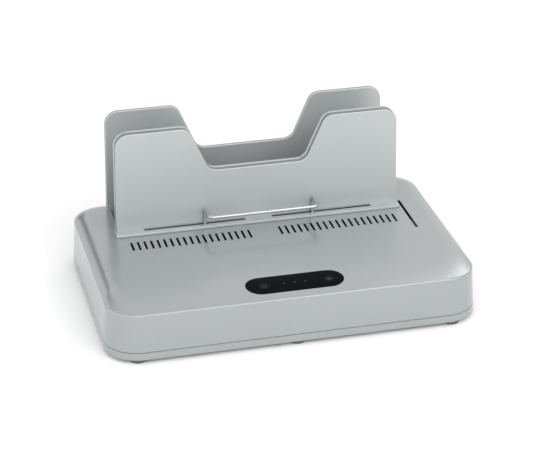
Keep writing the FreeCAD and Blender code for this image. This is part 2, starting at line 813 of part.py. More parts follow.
def soften_face(body, name, face, bottom):
    """Round the rim of a panel's show face, apart from the edge it stands on."""
    level, low = number(face), number(bottom)
    near = 0.01
    round_edges(body, name, "panel_edge",
                lambda edge: abs(edge.BoundBox.YMin - level) < near and abs(edge.BoundBox.YMax - level) < near
                and edge.BoundBox.ZMax > low + near)


def carriage_screw_spots():
    """Four screws up through the carriage plate into the back shell."""
    row = f"({PANEL_REAR} - carriage_screw_inset)"
    return [(f"{share} * carriage_screw_x", row) for share in FOUR_IN_A_ROW]


def front_panel():
    """Two hollow shells, face and back, that meet in a narrow seam round the edge."""
    shell = "((panel_thickness - seam_gap) / 2)"
    hollow_floor = f"({STRIP_TOP} + panel_solid_band)"
    size = (STRIP_TOP, "panel_top", "panel_half_bottom")
    core = (hollow_floor, "panel_top", "panel_half_bottom")
    face = notched_panel("face_outer", "panel_front", shell, *size)
    soften_face(face, "face_edge", "panel_front", STRIP_TOP)
    face_core = notched_panel("face_core", "panel_front + panel_skin", "panel_thickness", *core, "panel_skin")
    node(cut("front_panel_face", face, [face_core]), "front_panel_face")

    back_front = f"({PANEL_REAR} - {shell})"
    back = notched_panel("back_outer", back_front, shell, *size)
    soften_face(back, "back_edge", PANEL_REAR, STRIP_TOP)
    back_core = notched_panel("back_core", "panel_front", "panel_thickness - panel_skin", *core, "panel_skin")
    lip_inset = "(panel_skin + fit_clearance)"
    lip_low = f"({hollow_floor} + fit_clearance)"
    lip_reach = f"({back_front} - seam_gap - seam_lip)"
    lip_core_inset = f"({lip_inset} + seam_lip)"
    lip = cut("back_lip",
              notched_panel("lip_outer", lip_reach, f"{shell} + seam_gap", lip_low, *size[1:], lip_inset),
              [notched_panel("lip_core", "panel_front", "panel_thickness", f"{lip_low} + seam_lip", *size[1:],
                             lip_core_inset)])
    seam_pad = box("back_seam_pad", ("-skirt_half", "skirt_half"),
                   (f"{back_front} - seam_gap", back_front), (STRIP_TOP, hollow_floor))
    bores = [rod(f"back_bore_{index}", (x, y, STRIP_TOP), "screw_radius + screw_clearance", "screw_length")
             for index, (x, y) in enumerate(carriage_screw_spots())]
    hollow_back = cut("back_hollow", back, [back_core])
    node(cut("front_panel_back", fuse("back_joined", [hollow_back, lip, seam_pad]), bores),
         "front_panel_back")


def rear_panel():
    """The fixed rear plate: it stands on the deck's edge, and a flange under the deck takes its screws."""
    low_half = "(throat_half - shell_clearance)"
    flange_top = f"({DECK_UNDER} - rear_flange_drop)"
    flange_low = f"({flange_top} - rear_flange_thickness)"
    plate = notched_panel("rear_plate", "rear_panel_front", "rear_panel_thickness", "deck_height",
                          "rear_panel_top", "rear_panel_half_bottom", "0", (low_half, flange_low))
    soften_face(plate, "rear_plate_edge", "rear_panel_front", "deck_height")
    flange = box("rear_flange", (f"-{low_half}", low_half),
                 (f"{REAR_PANEL_BACK} - fit_clearance", f"{REAR_PANEL_BACK} + rear_flange_depth"),
                 (flange_low, flange_top))
    holes = [rod(f"rear_hole_{index}", (x, y, flange_low), "screw_radius + screw_clearance",
                 "rear_flange_thickness")
             for index, (x, y) in enumerate(rear_screw_spots())]
    node(cut("rear_panel", fuse("rear_joined", [plate, flange]), holes), "rear_panel")
    screws = [screw(f"rear_screw_{index}", x, y, flange_low, "rear_flange_thickness + rear_flange_drop")
              for index, (x, y) in enumerate(rear_screw_spots())]
    node(group("rear_panel_screws", screws), "rear_panel_screws")


# Sliding carriage

def panel_foot():
    """The strip under the front panel, with two long slits and a skirt down to the carriage plate."""
    body = new_body("strip")
    sketch = new_sketch(body, "strip_outline", "XY_Plane", STRIP_BOTTOM)
    polygon(sketch, [("-strip_half", "strip_front"), ("strip_half", "strip_front"),
                     ("strip_half", PANEL_REAR), ("-strip_half", PANEL_REAR)])
    pad(body, sketch, "strip_plate", "strip_thickness")
    top, edge_line, near = number(STRIP_TOP), number("strip_front"), 0.01
    round_edges(body, "strip_front_edge", "strip_edge",
                lambda edge: edge.BoundBox.ZMin > top - near and edge.BoundBox.YMax < edge_line + near)
    skirt = box("strip_skirt", ("-skirt_half", "skirt_half"), (SKIRT_FRONT, PANEL_REAR),
                (PLATE_TOP, STRIP_BOTTOM))
    cutters = []
    for side in (-1, 1):
        ends = sorted((f"{side} * slit_inner", f"{side} * slit_outer"), key=number)
        cutters.append(box(f"slit_{side}", ends, ("slit_front", "panel_front"),
                           (PLATE_TOP, f"{STRIP_TOP} + wall")))
        leg = (f"{side} * wire_leg_x", "wire_leg_y", PLATE_TOP)
        cutters.append(rod(f"strip_wire_{side}", leg, "wire_radius + wire_clearance",
                           f"{STRIP_TOP} - {PLATE_TOP}"))
    for index, (x, y) in enumerate(carriage_screw_spots()):
        height = f"{STRIP_TOP} - {PLATE_TOP}"
        cutters.append(rod(f"strip_hole_{index}", (x, y, PLATE_TOP), "screw_radius + screw_clearance",
                           height))
    node(cut("panel_foot", fuse("strip_joined", [body, skirt]), cutters), "panel_foot")


def block_screw_spots():
    """Two screws into the outer side of each bush block."""
    rows = ("(block_front + block_screw_inset)", f"({BLOCK_REAR} - block_screw_inset)")
    return [(f"{side} * (rod_x + block_screw_offset)", row) for side in (-1, 1) for row in rows]


def carriage_plate():
    """The sheet under the deck that carries the panel, shields the heater and reaches to the bush blocks."""
    body = new_body("plate")
    sketch = new_sketch(body, "plate_outline", "XY_Plane", "plate_bottom")
    right = [("ear_inner", "plate_front"), ("ear_inner", "block_front"), ("ear_half", "block_front"),
             ("ear_half", "ear_rear"), ("plate_half", "ear_rear"), ("plate_half", PANEL_REAR)]
    polygon(sketch, right + [(f"-{x}", y) for x, y in reversed(right)])
    pad(body, sketch, "plate_sheet", "plate_thickness")
    holes = []
    for index, (x, y) in enumerate(carriage_screw_spots() + block_screw_spots()):
        holes.append(rod(f"plate_hole_{index}", (x, y, "plate_bottom"), "screw_radius + screw_clearance",
                         "plate_thickness"))
    for side in (-1, 1):
        holes.append(rod(f"plate_wire_{side}", (f"{side} * wire_leg_x", "wire_leg_y", "plate_bottom"),
                         "wire_radius + wire_clearance", "plate_thickness"))
        for column in range(PLATE_VENTS):
            middle = f"{side} * plate_vent_x * ({column} + {FIRST_PLATE_VENT})"
            holes.append(box(f"plate_vent_{side}_{column}", (f"{middle} - plate_vent_length / 2",
                                                            f"{middle} + plate_vent_length / 2"),
                             ("vent_front", "vent_front + plate_vent_width"), ("plate_bottom", PLATE_TOP)))
    node(cut("carriage_plate", body, holes), "carriage_plate")


def rounded_path(points, radius):
    """Straight runs through points, joined by tangent arcs of one radius."""
    edges = []
    start = points[0]
    for before, bend, after in zip(points, points[1:], points[2:]):
        back = (before - bend).normalize()
        ahead = (after - bend).normalize()
        reach = radius / abs(back.cross(ahead).Length / (1 - back.dot(ahead)))
        first, last = bend + back * reach, bend + ahead * reach
        inward = (back + ahead).normalize()
        away = (reach ** 2 + radius ** 2) ** 0.5 - radius
        edges.append(Part.LineSegment(start, first).toShape())
        edges.append(Part.Arc(first, bend + inward * away, last).toShape())
        start = last
    edges.append(Part.LineSegment(start, points[-1]).toShape())
    return Part.Wire(edges)


def wire_handle():
    """A bent wire pull: two legs out of the slits, two arms to the front and a bar between them."""
    leg_x, leg_y, reach = number("wire_leg_x"), number("wire_leg_y"), number("wire_reach")
    low, high = number("plate_bottom - push_nut_thickness - wire_radius"), number("wire_rise")
    points = [Vector(-leg_x, leg_y, low), Vector(-leg_x, leg_y, high), Vector(-leg_x, reach, high),
              Vector(leg_x, reach, high), Vector(leg_x, leg_y, high), Vector(leg_x, leg_y, low)]
    path = rounded_path(points, number("wire_bend"))
    ring = Part.Wire([Part.makeCircle(number("wire_radius"), points[0], Vector(0, 0, 1))])
    item = DOC.addObject("Part::Feature", "wire_handle")
    item.Shape = path.makePipeShell([ring], True, False)
    node(item, "wire_handle")
    nuts = []
    for side in (-1, 1):
        spot = (f"{side} * wire_leg_x", "wire_leg_y", "plate_bottom - push_nut_thickness")
        disc = rod(f"nut_disc_{side}", spot, "push_nut_radius", "push_nut_thickness")
        hole = rod(f"nut_hole_{side}", spot, "wire_radius + fit_clearance", "push_nut_thickness")
        nuts.append(cut(f"push_nut_{side}", disc, [hole]))
    node(group("handle_push_nuts", nuts), "handle_push_nuts")


def carriage_fasteners():
    """Screws that hold the panel and the bush blocks to the carriage plate."""
    long = f"({STRIP_TOP} - plate_bottom + screw_length * {SCREW_BITE})"
    screws = [screw(f"carriage_screw_{index}", x, y, "plate_bottom", long)
              for index, (x, y) in enumerate(carriage_screw_spots())]
    node(group("carriage_screws", screws), "carriage_screws")
    short = [screw(f"block_screw_{index}", x, y, PLATE_TOP, f"screw_length * {SCREW_BITE}", up=False)
             for index, (x, y) in enumerate(block_screw_spots())]
    node(group("block_screws", short), "block_screws")


def tube(name, start, radius, bore, length, axis):
    """A round sleeve."""
    return cut(name, rod(name + "_skin", start, radius, length, axis),
               [rod(name + "_bore", start, bore, length, axis)])


def slide_guides():
    """Guide rods in their brackets, with bush blocks, plain bushes and rubber end bumpers."""
    rods, brackets, bumpers, blocks, bushes = [], [], [], [], []
    front_face, rear_face = f"({FRONT_STOP} - bumper_thickness)", f"({REAR_STOP} + bumper_thickness)"
    rod_start = f"({front_face} - bracket_cap)"
    rod_length = f"({rear_face} + bracket_cap - {rod_start})"
    bush_radius = f"({BORE_RADIUS} - fit_clearance)"
    for side in (-1, 1):
        x = f"({side} * rod_x)"
        rods.append(rod(f"guide_rod_{side}", (x, rod_start, ROD_HEIGHT), "rod_radius", rod_length, "y"))
        across = (f"{x} - bracket_half_width", f"{x} + bracket_half_width")
        bore = rod(f"bracket_bore_{side}", (x, rod_start, ROD_HEIGHT), "rod_radius + fit_clearance",
                   rod_length, "y")
        for name, run in (("front", (f"{front_face} - bracket_thickness", front_face)),
                          ("rear", (rear_face, f"{rear_face} + bracket_thickness"))):
            post = box(f"bracket_post_{name}_{side}", across, run,
                       (FLOOR_TOP, "plate_bottom - bumper_thickness / 2"))
            brackets.append(cut(f"bracket_{name}_{side}", post, [bore]))
        for name, y in (("front", front_face), ("rear", REAR_STOP)):
            bumpers.append(tube(f"bumper_{name}_{side}", (x, y, ROD_HEIGHT), "bumper_radius",
                                "rod_radius + fit_clearance", "bumper_thickness", "y"))
        body = box(f"block_body_{side}", (f"{x} - block_half_width", f"{x} + block_half_width"),
                   ("block_front", BLOCK_REAR), (f"{ROD_HEIGHT} - block_half_height", "plate_bottom"))
        holes = [rod(f"block_bore_{side}", (x, "block_front", ROD_HEIGHT), BORE_RADIUS, "block_length", "y")]
        for index, (spot_x, spot_y) in enumerate(block_screw_spots()):
            holes.append(rod(f"block_hole_{side}_{index}", (spot_x, spot_y, "plate_bottom - screw_length"),
                             "screw_radius + screw_clearance", "screw_length"))
        blocks.append(cut(f"block_{side}", body, holes))
        for name, y in (("front", "block_front"), ("rear", f"{BLOCK_REAR} - bush_length")):
            bushes.append(tube(f"bush_{name}_{side}", (x, y, ROD_HEIGHT), bush_radius,
                               "rod_radius + bush_clearance", "bush_length", "y"))
    node(group("guide_rods", rods), "guide_rods")
    node(group("rod_brackets", brackets), "rod_brackets")
    node(group("end_bumpers", bumpers), "end_bumpers")
    node(group("bush_blocks", blocks), "bush_blocks")
    node(group("slide_bushes", bushes), "slide_bushes")


def guide_key():
    """A blade on the right ear that runs in the deck's narrow slot and keeps the panel square."""
    run = ("key_front", "key_front + key_length")
    foot = box("key_foot", ("slot_x - key_foot_width / 2", "slot_x + key_foot_width / 2"), run,
               (PLATE_TOP, f"{PLATE_TOP} + key_foot_thickness"))
    blade = box("key_blade", ("slot_x - key_thickness / 2", "slot_x + key_thickness / 2"), run,
                (PLATE_TOP, "deck_height - key_depth"))
    node(fuse("guide_key", [foot, blade]), "guide_key")


# Heater

def heater():
    """The hot plate in the throat, with its element, insulation, tray, posts and safety devices."""
    node(box("heater_plate", ("-heater_half", "heater_half"), (THROAT_FRONT, HEATER_REAR),
             (HEATER_UNDER, "heater_top")),
         "heater_plate")
    inner_x = (f"tray_wall - {TRAY_HALF}", f"{TRAY_HALF} - tray_wall")
    inner_y = (f"{TRAY_FRONT} + tray_wall", f"{TRAY_REAR} - tray_wall")
    element_x = (f"{inner_x[0]} + element_margin", f"{inner_x[1]} - element_margin")
    element_y = (f"{inner_y[0]} + element_margin", f"{inner_y[1]} - element_margin")
    node(box("heating_element", element_x, element_y, (ELEMENT_UNDER, HEATER_UNDER)), "heating_element")
    board_x = (f"{inner_x[0]} + shell_clearance", f"{inner_x[1]} - shell_clearance")
    board_y = (f"{inner_y[0]} + shell_clearance", f"{inner_y[1]} - shell_clearance")
    node(box("insulation_board", board_x, board_y, (INSULATION_UNDER, ELEMENT_UNDER)), "insulation_board")
    skin = box("tray_skin", (f"-{TRAY_HALF}", TRAY_HALF), (TRAY_FRONT, TRAY_REAR), (TRAY_UNDER, HEATER_UNDER))
    room = box("tray_room", inner_x, inner_y, (INSULATION_UNDER, "heater_top"))
    node(cut("heater_tray", skin, [room]), "heater_tray")
    posts = [rod(f"standoff_{side}_{end}", (f"{side} * standoff_x", row, FLOOR_TOP), "standoff_radius",
                 f"{TRAY_UNDER} - {FLOOR_TOP}")
             for side in (-1, 1)
             for end, row in enumerate((f"{TRAY_FRONT} + standoff_margin", f"{TRAY_REAR} - standoff_margin"))]
    node(group("tray_standoffs", posts), "tray_standoffs")
    middle = f"(({TRAY_FRONT} + {TRAY_REAR}) / 2)"
    can = rod("thermostat_can", ("thermostat_x", middle, f"{TRAY_UNDER} - thermostat_height"),
              "thermostat_radius", "thermostat_height")
    ear_reach = "thermostat_radius * 1.6"
    ears = box("thermostat_ears", (f"thermostat_x - {ear_reach}", f"thermostat_x + {ear_reach}"),
               (f"{middle} - thermostat_radius / 2", f"{middle} + thermostat_radius / 2"),
               (f"{TRAY_UNDER} - tray_wall", TRAY_UNDER))
    node(fuse("thermostat", [can, ears]), "thermostat")
    link = rod("fuse_link", ("thermal_fuse_x", middle, f"{TRAY_UNDER} - thermal_fuse_radius - tray_wall"),
               "thermal_fuse_radius", "thermal_fuse_length", "x")
    saddle_x = ("thermal_fuse_x + thermal_fuse_length / 3", "thermal_fuse_x + thermal_fuse_length * 2 / 3")
    saddle_half = "thermal_fuse_radius * 1.5"
    saddle = box("fuse_saddle", saddle_x, (f"{middle} - {saddle_half}", f"{middle} + {saddle_half}"),
                 (f"{TRAY_UNDER} - thermal_fuse_radius - tray_wall", TRAY_UNDER))
    node(fuse("thermal_fuse", [link, saddle]), "thermal_fuse")


# Controls

def light_spots():
    """Small lights in a row between the two buttons."""
    return [f"(lens_x + ({index} - (light_count - 1) / 2) * light_pitch)"
            for index in range(DIMENSIONS["light_count"])]


def control_strip():
    """The black lens, its light pipes and the two push buttons, all following the crown of the cover."""
    face = cover_form("lens_face", "parting_height", "0", "lens_recess")
    under = cover_form("lens_under", "parting_height", "0", "(lens_recess + lens_thickness)")
    high = "deck_height + deck_thickness"
    buttons = (("start_button", "start_x"), ("mode_button", "mode_x"))
    plate = stadium("lens_plate", "lens_half_length - lens_gap", "lens_half_width - lens_gap",
                    f"{DECK_UNDER} - deck_thickness", high)
    holes = [rod(f"{name}_hole", (x, "button_y", "control_board_height"), "button_radius + button_gap",
                 f"{high} - control_board_height") for name, x in buttons]
    holes += [rod(f"light_hole_{index}", (x, "lens_y", "control_board_height"),
                  "light_pipe_radius + fit_clearance", f"{high} - control_board_height")
              for index, x in enumerate(light_spots())]
    sheet = cut("lens_sheet", common("lens_top", plate, face), [under])
    node(cut("control_lens", sheet, holes), "control_lens")
    led_top = f"({CONTROL_TOP} + tact_height)"
    pipes = [common(f"light_pipe_{index}", rod(f"pipe_{index}", (x, "lens_y", led_top), "light_pipe_radius",
                                               f"{high} - {led_top}"), face)
             for index, x in enumerate(light_spots())]
    node(group("light_pipes", pipes), "light_pipes")
    leds = [rod(f"led_{index}", (x, "lens_y", CONTROL_TOP), "light_pipe_radius", "tact_height")
            for index, x in enumerate(light_spots())]
    node(group("indicator_leds", leds), "indicator_leds")
    flange_top = "(deck_height - lens_recess - lens_thickness - button_flange_drop)"
    flange_low = f"({flange_top} - button_flange_thickness)"
    stem_low = f"({TACT_TOP} + button_clear)"
    for name, x in buttons:
        post = rod(f"{name}_post", (x, "button_y", flange_low), "button_radius", f"{high} - {flange_low}")
        cap = common(f"{name}_cap", post, face)
        flange = rod(f"{name}_flange", (x, "button_y", flange_low), "button_radius + button_flange",
                     "button_flange_thickness")
        stem = rod(f"{name}_stem", (x, "button_y", stem_low), "stem_radius", f"{flange_top} - {stem_low}")
        node(fuse(name, [cap, flange, stem]), name)
    switches = []
    for name, x in buttons:
        case = box(f"{name}_tact", (f"{x} - tact_half", f"{x} + tact_half"),
                   ("button_y - tact_half", "button_y + tact_half"),
                   (CONTROL_TOP, f"{CONTROL_TOP} + tact_height"))
        plunger = rod(f"{name}_plunger", (x, "button_y", CONTROL_TOP), "tact_half / 2",
                      "tact_height + tact_plunger")
        switches.append(fuse(f"{name}_switch", [case, plunger]))
    node(group("tact_switches", switches), "tact_switches")


def control_board():
    """The board under the lens, with its buzzer, hung from two bosses."""
    board = box("control_sheet", ("lens_x - control_board_half_length", "lens_x + control_board_half_length"),
                ("lens_y - control_board_half_width", "lens_y + control_board_half_width"),
                ("control_board_height", CONTROL_TOP))
    holes = [rod(f"control_hole_{index}", (x, y, "control_board_height"), "screw_radius + screw_clearance",
                 "board_thickness") for index, (x, y) in enumerate(control_screw_spots())]
    node(cut("control_board", board, holes), "control_board")
    buzzer_x = "lens_x - control_board_half_length / 1.4"
    node(rod("buzzer", (buzzer_x, "lens_y", CONTROL_TOP), "buzzer_radius", "buzzer_height"), "buzzer")
    screws = [screw(f"control_screw_{index}", x, y, "control_board_height", "screw_length / 2")
              for index, (x, y) in enumerate(control_screw_spots())]
    screws += [screw(f"power_screw_{index}", x, y, POWER_TOP, "screw_length / 2", up=False)
               for index, (x, y) in enumerate(power_post_spots())]
    node(group("board_screws", screws), "board_screws")


# Mains side

def power_supply():
    """The power board on its posts, with transformer, relay, capacitor and fuse."""
    board_low = f"({FLOOR_TOP} + power_board_lift)"
    end_x, end_y = "(power_board_x + power_board_length)", "(power_board_y + power_board_width)"
    sheet = box("power_sheet", ("power_board_x", end_x), ("power_board_y", end_y), (board_low, POWER_TOP))
    holes = [rod(f"power_hole_{index}", (x, y, board_low), "screw_radius + screw_clearance",
                 "board_thickness")
             for index, (x, y) in enumerate(power_post_spots())]
    node(cut("power_board", sheet, holes), "power_board")
    left, low = "(power_board_x + 3 * power_post_inset)", "(power_board_y + 2 * power_post_inset)"
    core_y = [f"{low} + (transformer_width {sign} transformer_core) / 2" for sign in "-+"]
    core = box("transformer_stack", (left, f"{left} + transformer_length"), core_y,
               (POWER_TOP, f"{POWER_TOP} + transformer_height"))
    coil_x = (f"{left} + transformer_core / 2", f"{left} + transformer_length - transformer_core / 2")
    coil_z = (POWER_TOP, f"{POWER_TOP} + transformer_height - transformer_core / 2")
    coil = box("transformer_coil", coil_x, (low, f"{low} + transformer_width"), coil_z)
    node(fuse("transformer", [core, coil]), "transformer")
    relay_x = f"({left} + transformer_length + power_post_inset)"
    node(box("relay", (relay_x, f"{relay_x} + relay_length"), (low, f"{low} + relay_width"),
             (POWER_TOP, f"{POWER_TOP} + relay_height")), "relay")
    can_y = f"({low} + relay_width + power_post_inset + capacitor_radius)"
    node(rod("smoothing_capacitor", (f"{relay_x} + capacitor_radius", can_y, POWER_TOP), "capacitor_radius",
             "capacitor_height"), "smoothing_capacitor")
    fuse_y = f"({end_y} - power_post_inset - fuse_radius)"
    fuse_z = f"({POWER_TOP} + 1.5 * fuse_radius)"
    tube_link = rod("fuse_tube", (left, fuse_y, fuse_z), "fuse_radius", "fuse_length", "x")
    clip_starts = (left, f"({left} + fuse_length * 0.75)")
    clip_y = (f"{fuse_y} - fuse_radius", f"{fuse_y} + fuse_radius")
    clips = [box(f"fuse_clip_{index}", (x, f"{x} + fuse_length / 4"), clip_y, (POWER_TOP, fuse_z))
             for index, x in enumerate(clip_starts)]
    node(fuse("board_fuse", [tube_link] + clips), "board_fuse")


def mains_inlet():
    """A recessed appliance inlet in the rear wall, with its three blades."""
    back = f"({INLET_FACE} - inlet_depth)"
    case = box("inlet_case", ("inlet_x - inlet_half_width", "inlet_x + inlet_half_width"), (back, INLET_FACE),
               ("inlet_height - inlet_half_height", "inlet_height + inlet_half_height"))
    flange = box("inlet_rim",
                 ("inlet_x - inlet_half_width - inlet_flange", "inlet_x + inlet_half_width + inlet_flange"),
                 (f"{INLET_FACE} - wall", INLET_FACE),
                 ("inlet_height - inlet_half_height - inlet_flange",
                  "inlet_height + inlet_half_height + inlet_flange"))
    socket_x = ("inlet_x - inlet_half_width + inlet_wall", "inlet_x + inlet_half_width - inlet_wall")
    socket_z = ("inlet_height - inlet_half_height + inlet_wall",
                "inlet_height + inlet_half_height - inlet_wall")
    socket = box("inlet_socket", socket_x, (f"{INLET_FACE} - socket_depth", f"{INLET_FACE} + wall"), socket_z)
    blades, slots = [], []
    run = (f"{back} - pin_tail", f"{INLET_FACE} - socket_depth + pin_reach")
    for index, (shift, lift) in enumerate((("-pin_spread", "-pin_thickness"), ("0", "pin_thickness"),
                                           ("pin_spread", "-pin_thickness"))):
        x, z = f"(inlet_x + {shift})", f"(inlet_height + {lift})"
        for store, name, grow in ((blades, "blade", "0"), (slots, "blade_slot", "fit_clearance")):
            store.append(box(f"{name}_{index}",
                             (f"{x} - pin_thickness / 2 - {grow}", f"{x} + pin_thickness / 2 + {grow}"),
                             run, (f"{z} - pin_width / 2 - {grow}", f"{z} + pin_width / 2 + {grow}")))
    node(cut("mains_inlet", fuse("inlet_shell", [case, flange]), [socket] + slots), "mains_inlet")
    node(group("inlet_pins", blades), "inlet_pins")


def mains_switch():
    """The switch housing in the rear wall and its tilting rocker, drawn in the off place."""
    pivot_y = f"({SWITCH_FACE} - rocker_pivot_depth)"
    case = box("switch_case", ("switch_x - switch_half_width", "switch_x + switch_half_width"),
               (f"{SWITCH_FACE} - switch_depth", SWITCH_FACE),
               ("inlet_height - switch_half_height", "inlet_height + switch_half_height"))
    window = box("switch_window",
                 ("switch_x - switch_half_width + switch_wall", "switch_x + switch_half_width - switch_wall"),
                 (f"{pivot_y} - 2 * rocker_back - rocker_room", f"{SWITCH_FACE} + wall"),
                 ("inlet_height - switch_half_height + switch_wall",
                  "inlet_height + switch_half_height - switch_wall"))
    pin_half = "(switch_half_width - switch_wall / 2)"
    bore = rod("rocker_bore", (f"switch_x - {pin_half} - rocker_clearance", pivot_y, "inlet_height"),
               "rocker_pin_radius + rocker_clearance", f"2 * ({pin_half} + rocker_clearance)", "x")
    node(cut("switch_housing", case, [window, bore]), "switch_housing")

    half_x = "(switch_half_width - switch_wall - rocker_clearance)"
    half_z = "(switch_half_height - switch_wall - rocker_clearance - rocker_room)"
    body = new_body("rocker_paddle")
    sketch = new_sketch(body, "rocker_profile", "YZ_Plane", f"-{half_x}")
    peak = f"(rocker_front + {half_z} * tan(rocker_tilt))"
    heel = f"({half_z} - rocker_back)"
    polygon(sketch,
            [("-rocker_back", f"-{heel}"), (peak, f"-{half_z}"), ("rocker_front", "0"), (peak, half_z),
             ("-rocker_back", heel)])
    pad(body, sketch, "rocker_pad", f"2 * {half_x}")
    pin = rod("rocker_pin", (f"-{pin_half}", "0", "0"), "rocker_pin_radius", f"2 * {pin_half}", "x")
    rocker = fuse("power_rocker", [body, pin])
    rocker.Placement = Placement(Vector(), Rotation(Vector(1, 0, 0), -number("rocker_tilt")))
    place(rocker, "switch_x", pivot_y, "inlet_height")
    node(rocker, "power_rocker")


def build():
    """Make every sub-part in the document."""
    for make in (bottom_pan, top_cover, case_fasteners, rear_panel, heater, slide_guides, panel_foot,
                 front_panel, wire_handle, carriage_plate, carriage_fasteners, guide_key, control_strip,
                 control_board, power_supply, mains_inlet, mains_switch):
        make()
    DOC.recompute()


def check():
    """Stop if any object failed or any sub-part is not a sound solid."""
    for item in DOC.Objects:
        if {"Invalid", "Error"} & set(item.State):
            raise RuntimeError(f"{item.Name} failed: {item.State}")
    for item in NODES:
        if item.Shape.isNull() or not item.Shape.isValid() or not item.Shape.Solids:
            raise RuntimeError(f"{item.Label} is not a valid solid")


def export():
    """Write each sub-part to its own file."""
    os.makedirs("parts", exist_ok=True)
    for item in NODES:
        item.Shape.exportStep(f"parts/{item.Label}.step")
        print(item.Label, len(item.Shape.Solids), round(item.Shape.Volume, 1))


build()
check()
export()
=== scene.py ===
# %% [markdown]
# # Dressing a desktop thermal binding machine
# The solids arrive as a fixed frame at their real size. This lesson gives them a studio, a camera at the
# photograph's angle and painted, chromed, moulded and rubber finishes. It also adds what the solids leave
# out: painted shade on the plates' edges, in the slots and in the seam, cross recesses in the screws and
# printed marks.

# %% Load the frame
import bpy
import json
import math
from mathutils import Matrix, Vector


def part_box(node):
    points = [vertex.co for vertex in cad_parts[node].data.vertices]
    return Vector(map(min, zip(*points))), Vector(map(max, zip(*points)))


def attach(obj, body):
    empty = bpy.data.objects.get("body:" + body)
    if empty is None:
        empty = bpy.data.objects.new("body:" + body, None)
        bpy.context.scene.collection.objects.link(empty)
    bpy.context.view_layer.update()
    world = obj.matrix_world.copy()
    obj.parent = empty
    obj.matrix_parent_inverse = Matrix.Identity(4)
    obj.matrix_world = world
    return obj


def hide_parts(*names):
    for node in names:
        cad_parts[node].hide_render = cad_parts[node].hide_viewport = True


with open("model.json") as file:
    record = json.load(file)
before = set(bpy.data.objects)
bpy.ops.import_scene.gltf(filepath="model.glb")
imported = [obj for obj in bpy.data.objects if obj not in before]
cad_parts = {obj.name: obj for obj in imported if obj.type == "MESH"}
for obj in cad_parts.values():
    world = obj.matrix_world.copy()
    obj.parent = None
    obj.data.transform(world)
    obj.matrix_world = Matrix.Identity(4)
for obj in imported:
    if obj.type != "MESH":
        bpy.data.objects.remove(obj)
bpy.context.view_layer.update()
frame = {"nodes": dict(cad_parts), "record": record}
MM = 0.001
RECORD = frame["record"]
BODY_OF = {node: body for body, nodes in RECORD["behaviour"]["bodies"].items() for node in nodes}
SLOT_OF = {part["node"]: part["material_slot"] for part in RECORD["subparts"]}

# %% [markdown]
# ## Camera
# The photograph was taken with a long lens from the front left, a little
# above the deck. The angles and the distance below come from fitting the
# base's edges, the plates and the vents, so the frame matches it.

# %% Camera
AZIMUTH = math.radians(-13.75)
ELEVATION = math.radians(26.09)
ROLL = math.radians(-0.23)
DISTANCE = 2147.9 * MM
TARGET = Vector((6.93, 0, 71.81)) * MM
IMAGE_WIDTH_PX = 550
FOCAL_PX = 2040.2
SENSOR_MM = 36.0

level_back = Vector((math.sin(AZIMUTH), -math.cos(AZIMUTH), 0))
back = level_back * math.cos(ELEVATION) + Vector((0, 0, math.sin(ELEVATION)))
right = Vector((0, 0, 1)).cross(back).normalized()
up = back.cross(right)
right, up = right * math.cos(ROLL) + up * math.sin(ROLL), up * math.cos(ROLL) - right * math.sin(ROLL)

camera_data = bpy.data.cameras.new("studio_camera")
camera_data.sensor_width = SENSOR_MM
camera_data.lens = FOCAL_PX / IMAGE_WIDTH_PX * SENSOR_MM
camera = bpy.data.objects.new("studio_camera", camera_data)
bpy.context.collection.objects.link(camera)
turn = Matrix((right, up, back)).transposed().to_4x4()
camera.matrix_world = Matrix.Translation(TARGET + back * DISTANCE) @ turn
bpy.context.scene.camera = camera
bpy.context.scene.view_settings.view_transform = "Standard"
print("lens in mm:", round(camera_data.lens, 1))

# %% [markdown]
# ## Studio
# A product shot on white: a wide pale floor, an even white surround and a
# few large soft lamps. The lamps are set so that a painted colour renders
# about as it is written. The floor and the card share a plain paint.


# %% Floor
def matte(name, tone, rough, specular=0.5):
    """A plain grey paint for the set."""
    material = bpy.data.materials.new(name)
    material.use_nodes = True
    inputs = material.node_tree.nodes["Principled BSDF"].inputs
    inputs["Base Color"].default_value = (tone, tone, tone, 1)
    inputs["Roughness"].default_value = rough
    inputs["Specular IOR Level"].default_value = specular
    return material


FLOOR_SIZE = 30.0
FLOOR_TONE = 0.99
bpy.ops.object.select_all(action="DESELECT")
bpy.ops.mesh.primitive_plane_add(size=FLOOR_SIZE, location=(0, 0, 0))
floor = bpy.context.object
floor.name = "studio_floor"
floor.data.materials.append(matte("studio_floor", FLOOR_TONE, rough=0.9, specular=0.1))
print("floor in m:", FLOOR_SIZE)

# %% [markdown]
# ## Surround
# The camera and mirrored rays see a full white surround, as on a seamless backdrop.
# The light that it throws on the part is dimmer, so that the lamps still shape it.

# %% World
SURROUND = 0.75
world = bpy.data.worlds.new("studio_world")
bpy.context.scene.world = world
world.use_nodes = True
sky = world.node_tree.nodes["Background"]
sky.inputs["Color"].default_value = (1, 1, 1, 1)
paths = world.node_tree.nodes.new("ShaderNodeLightPath")
seen = None
for ray in ("Is Camera Ray", "Is Glossy Ray", "Is Transmission Ray"):
    step = world.node_tree.nodes.new("ShaderNodeMath")
    step.operation = "MAXIMUM"
    step.inputs[1].default_value = 0.0
    world.node_tree.links.new(paths.outputs[ray], step.inputs[0])
    if seen:
        world.node_tree.links.new(seen, step.inputs[1])
    seen = step.outputs["Value"]
level = world.node_tree.nodes.new("ShaderNodeMapRange")
level.inputs["To Min"].default_value = SURROUND
level.inputs["To Max"].default_value = 1.0
world.node_tree.links.new(seen, level.inputs["Value"])
world.node_tree.links.new(level.outputs["Result"], sky.inputs["Strength"])
print("surround:", SURROUND)

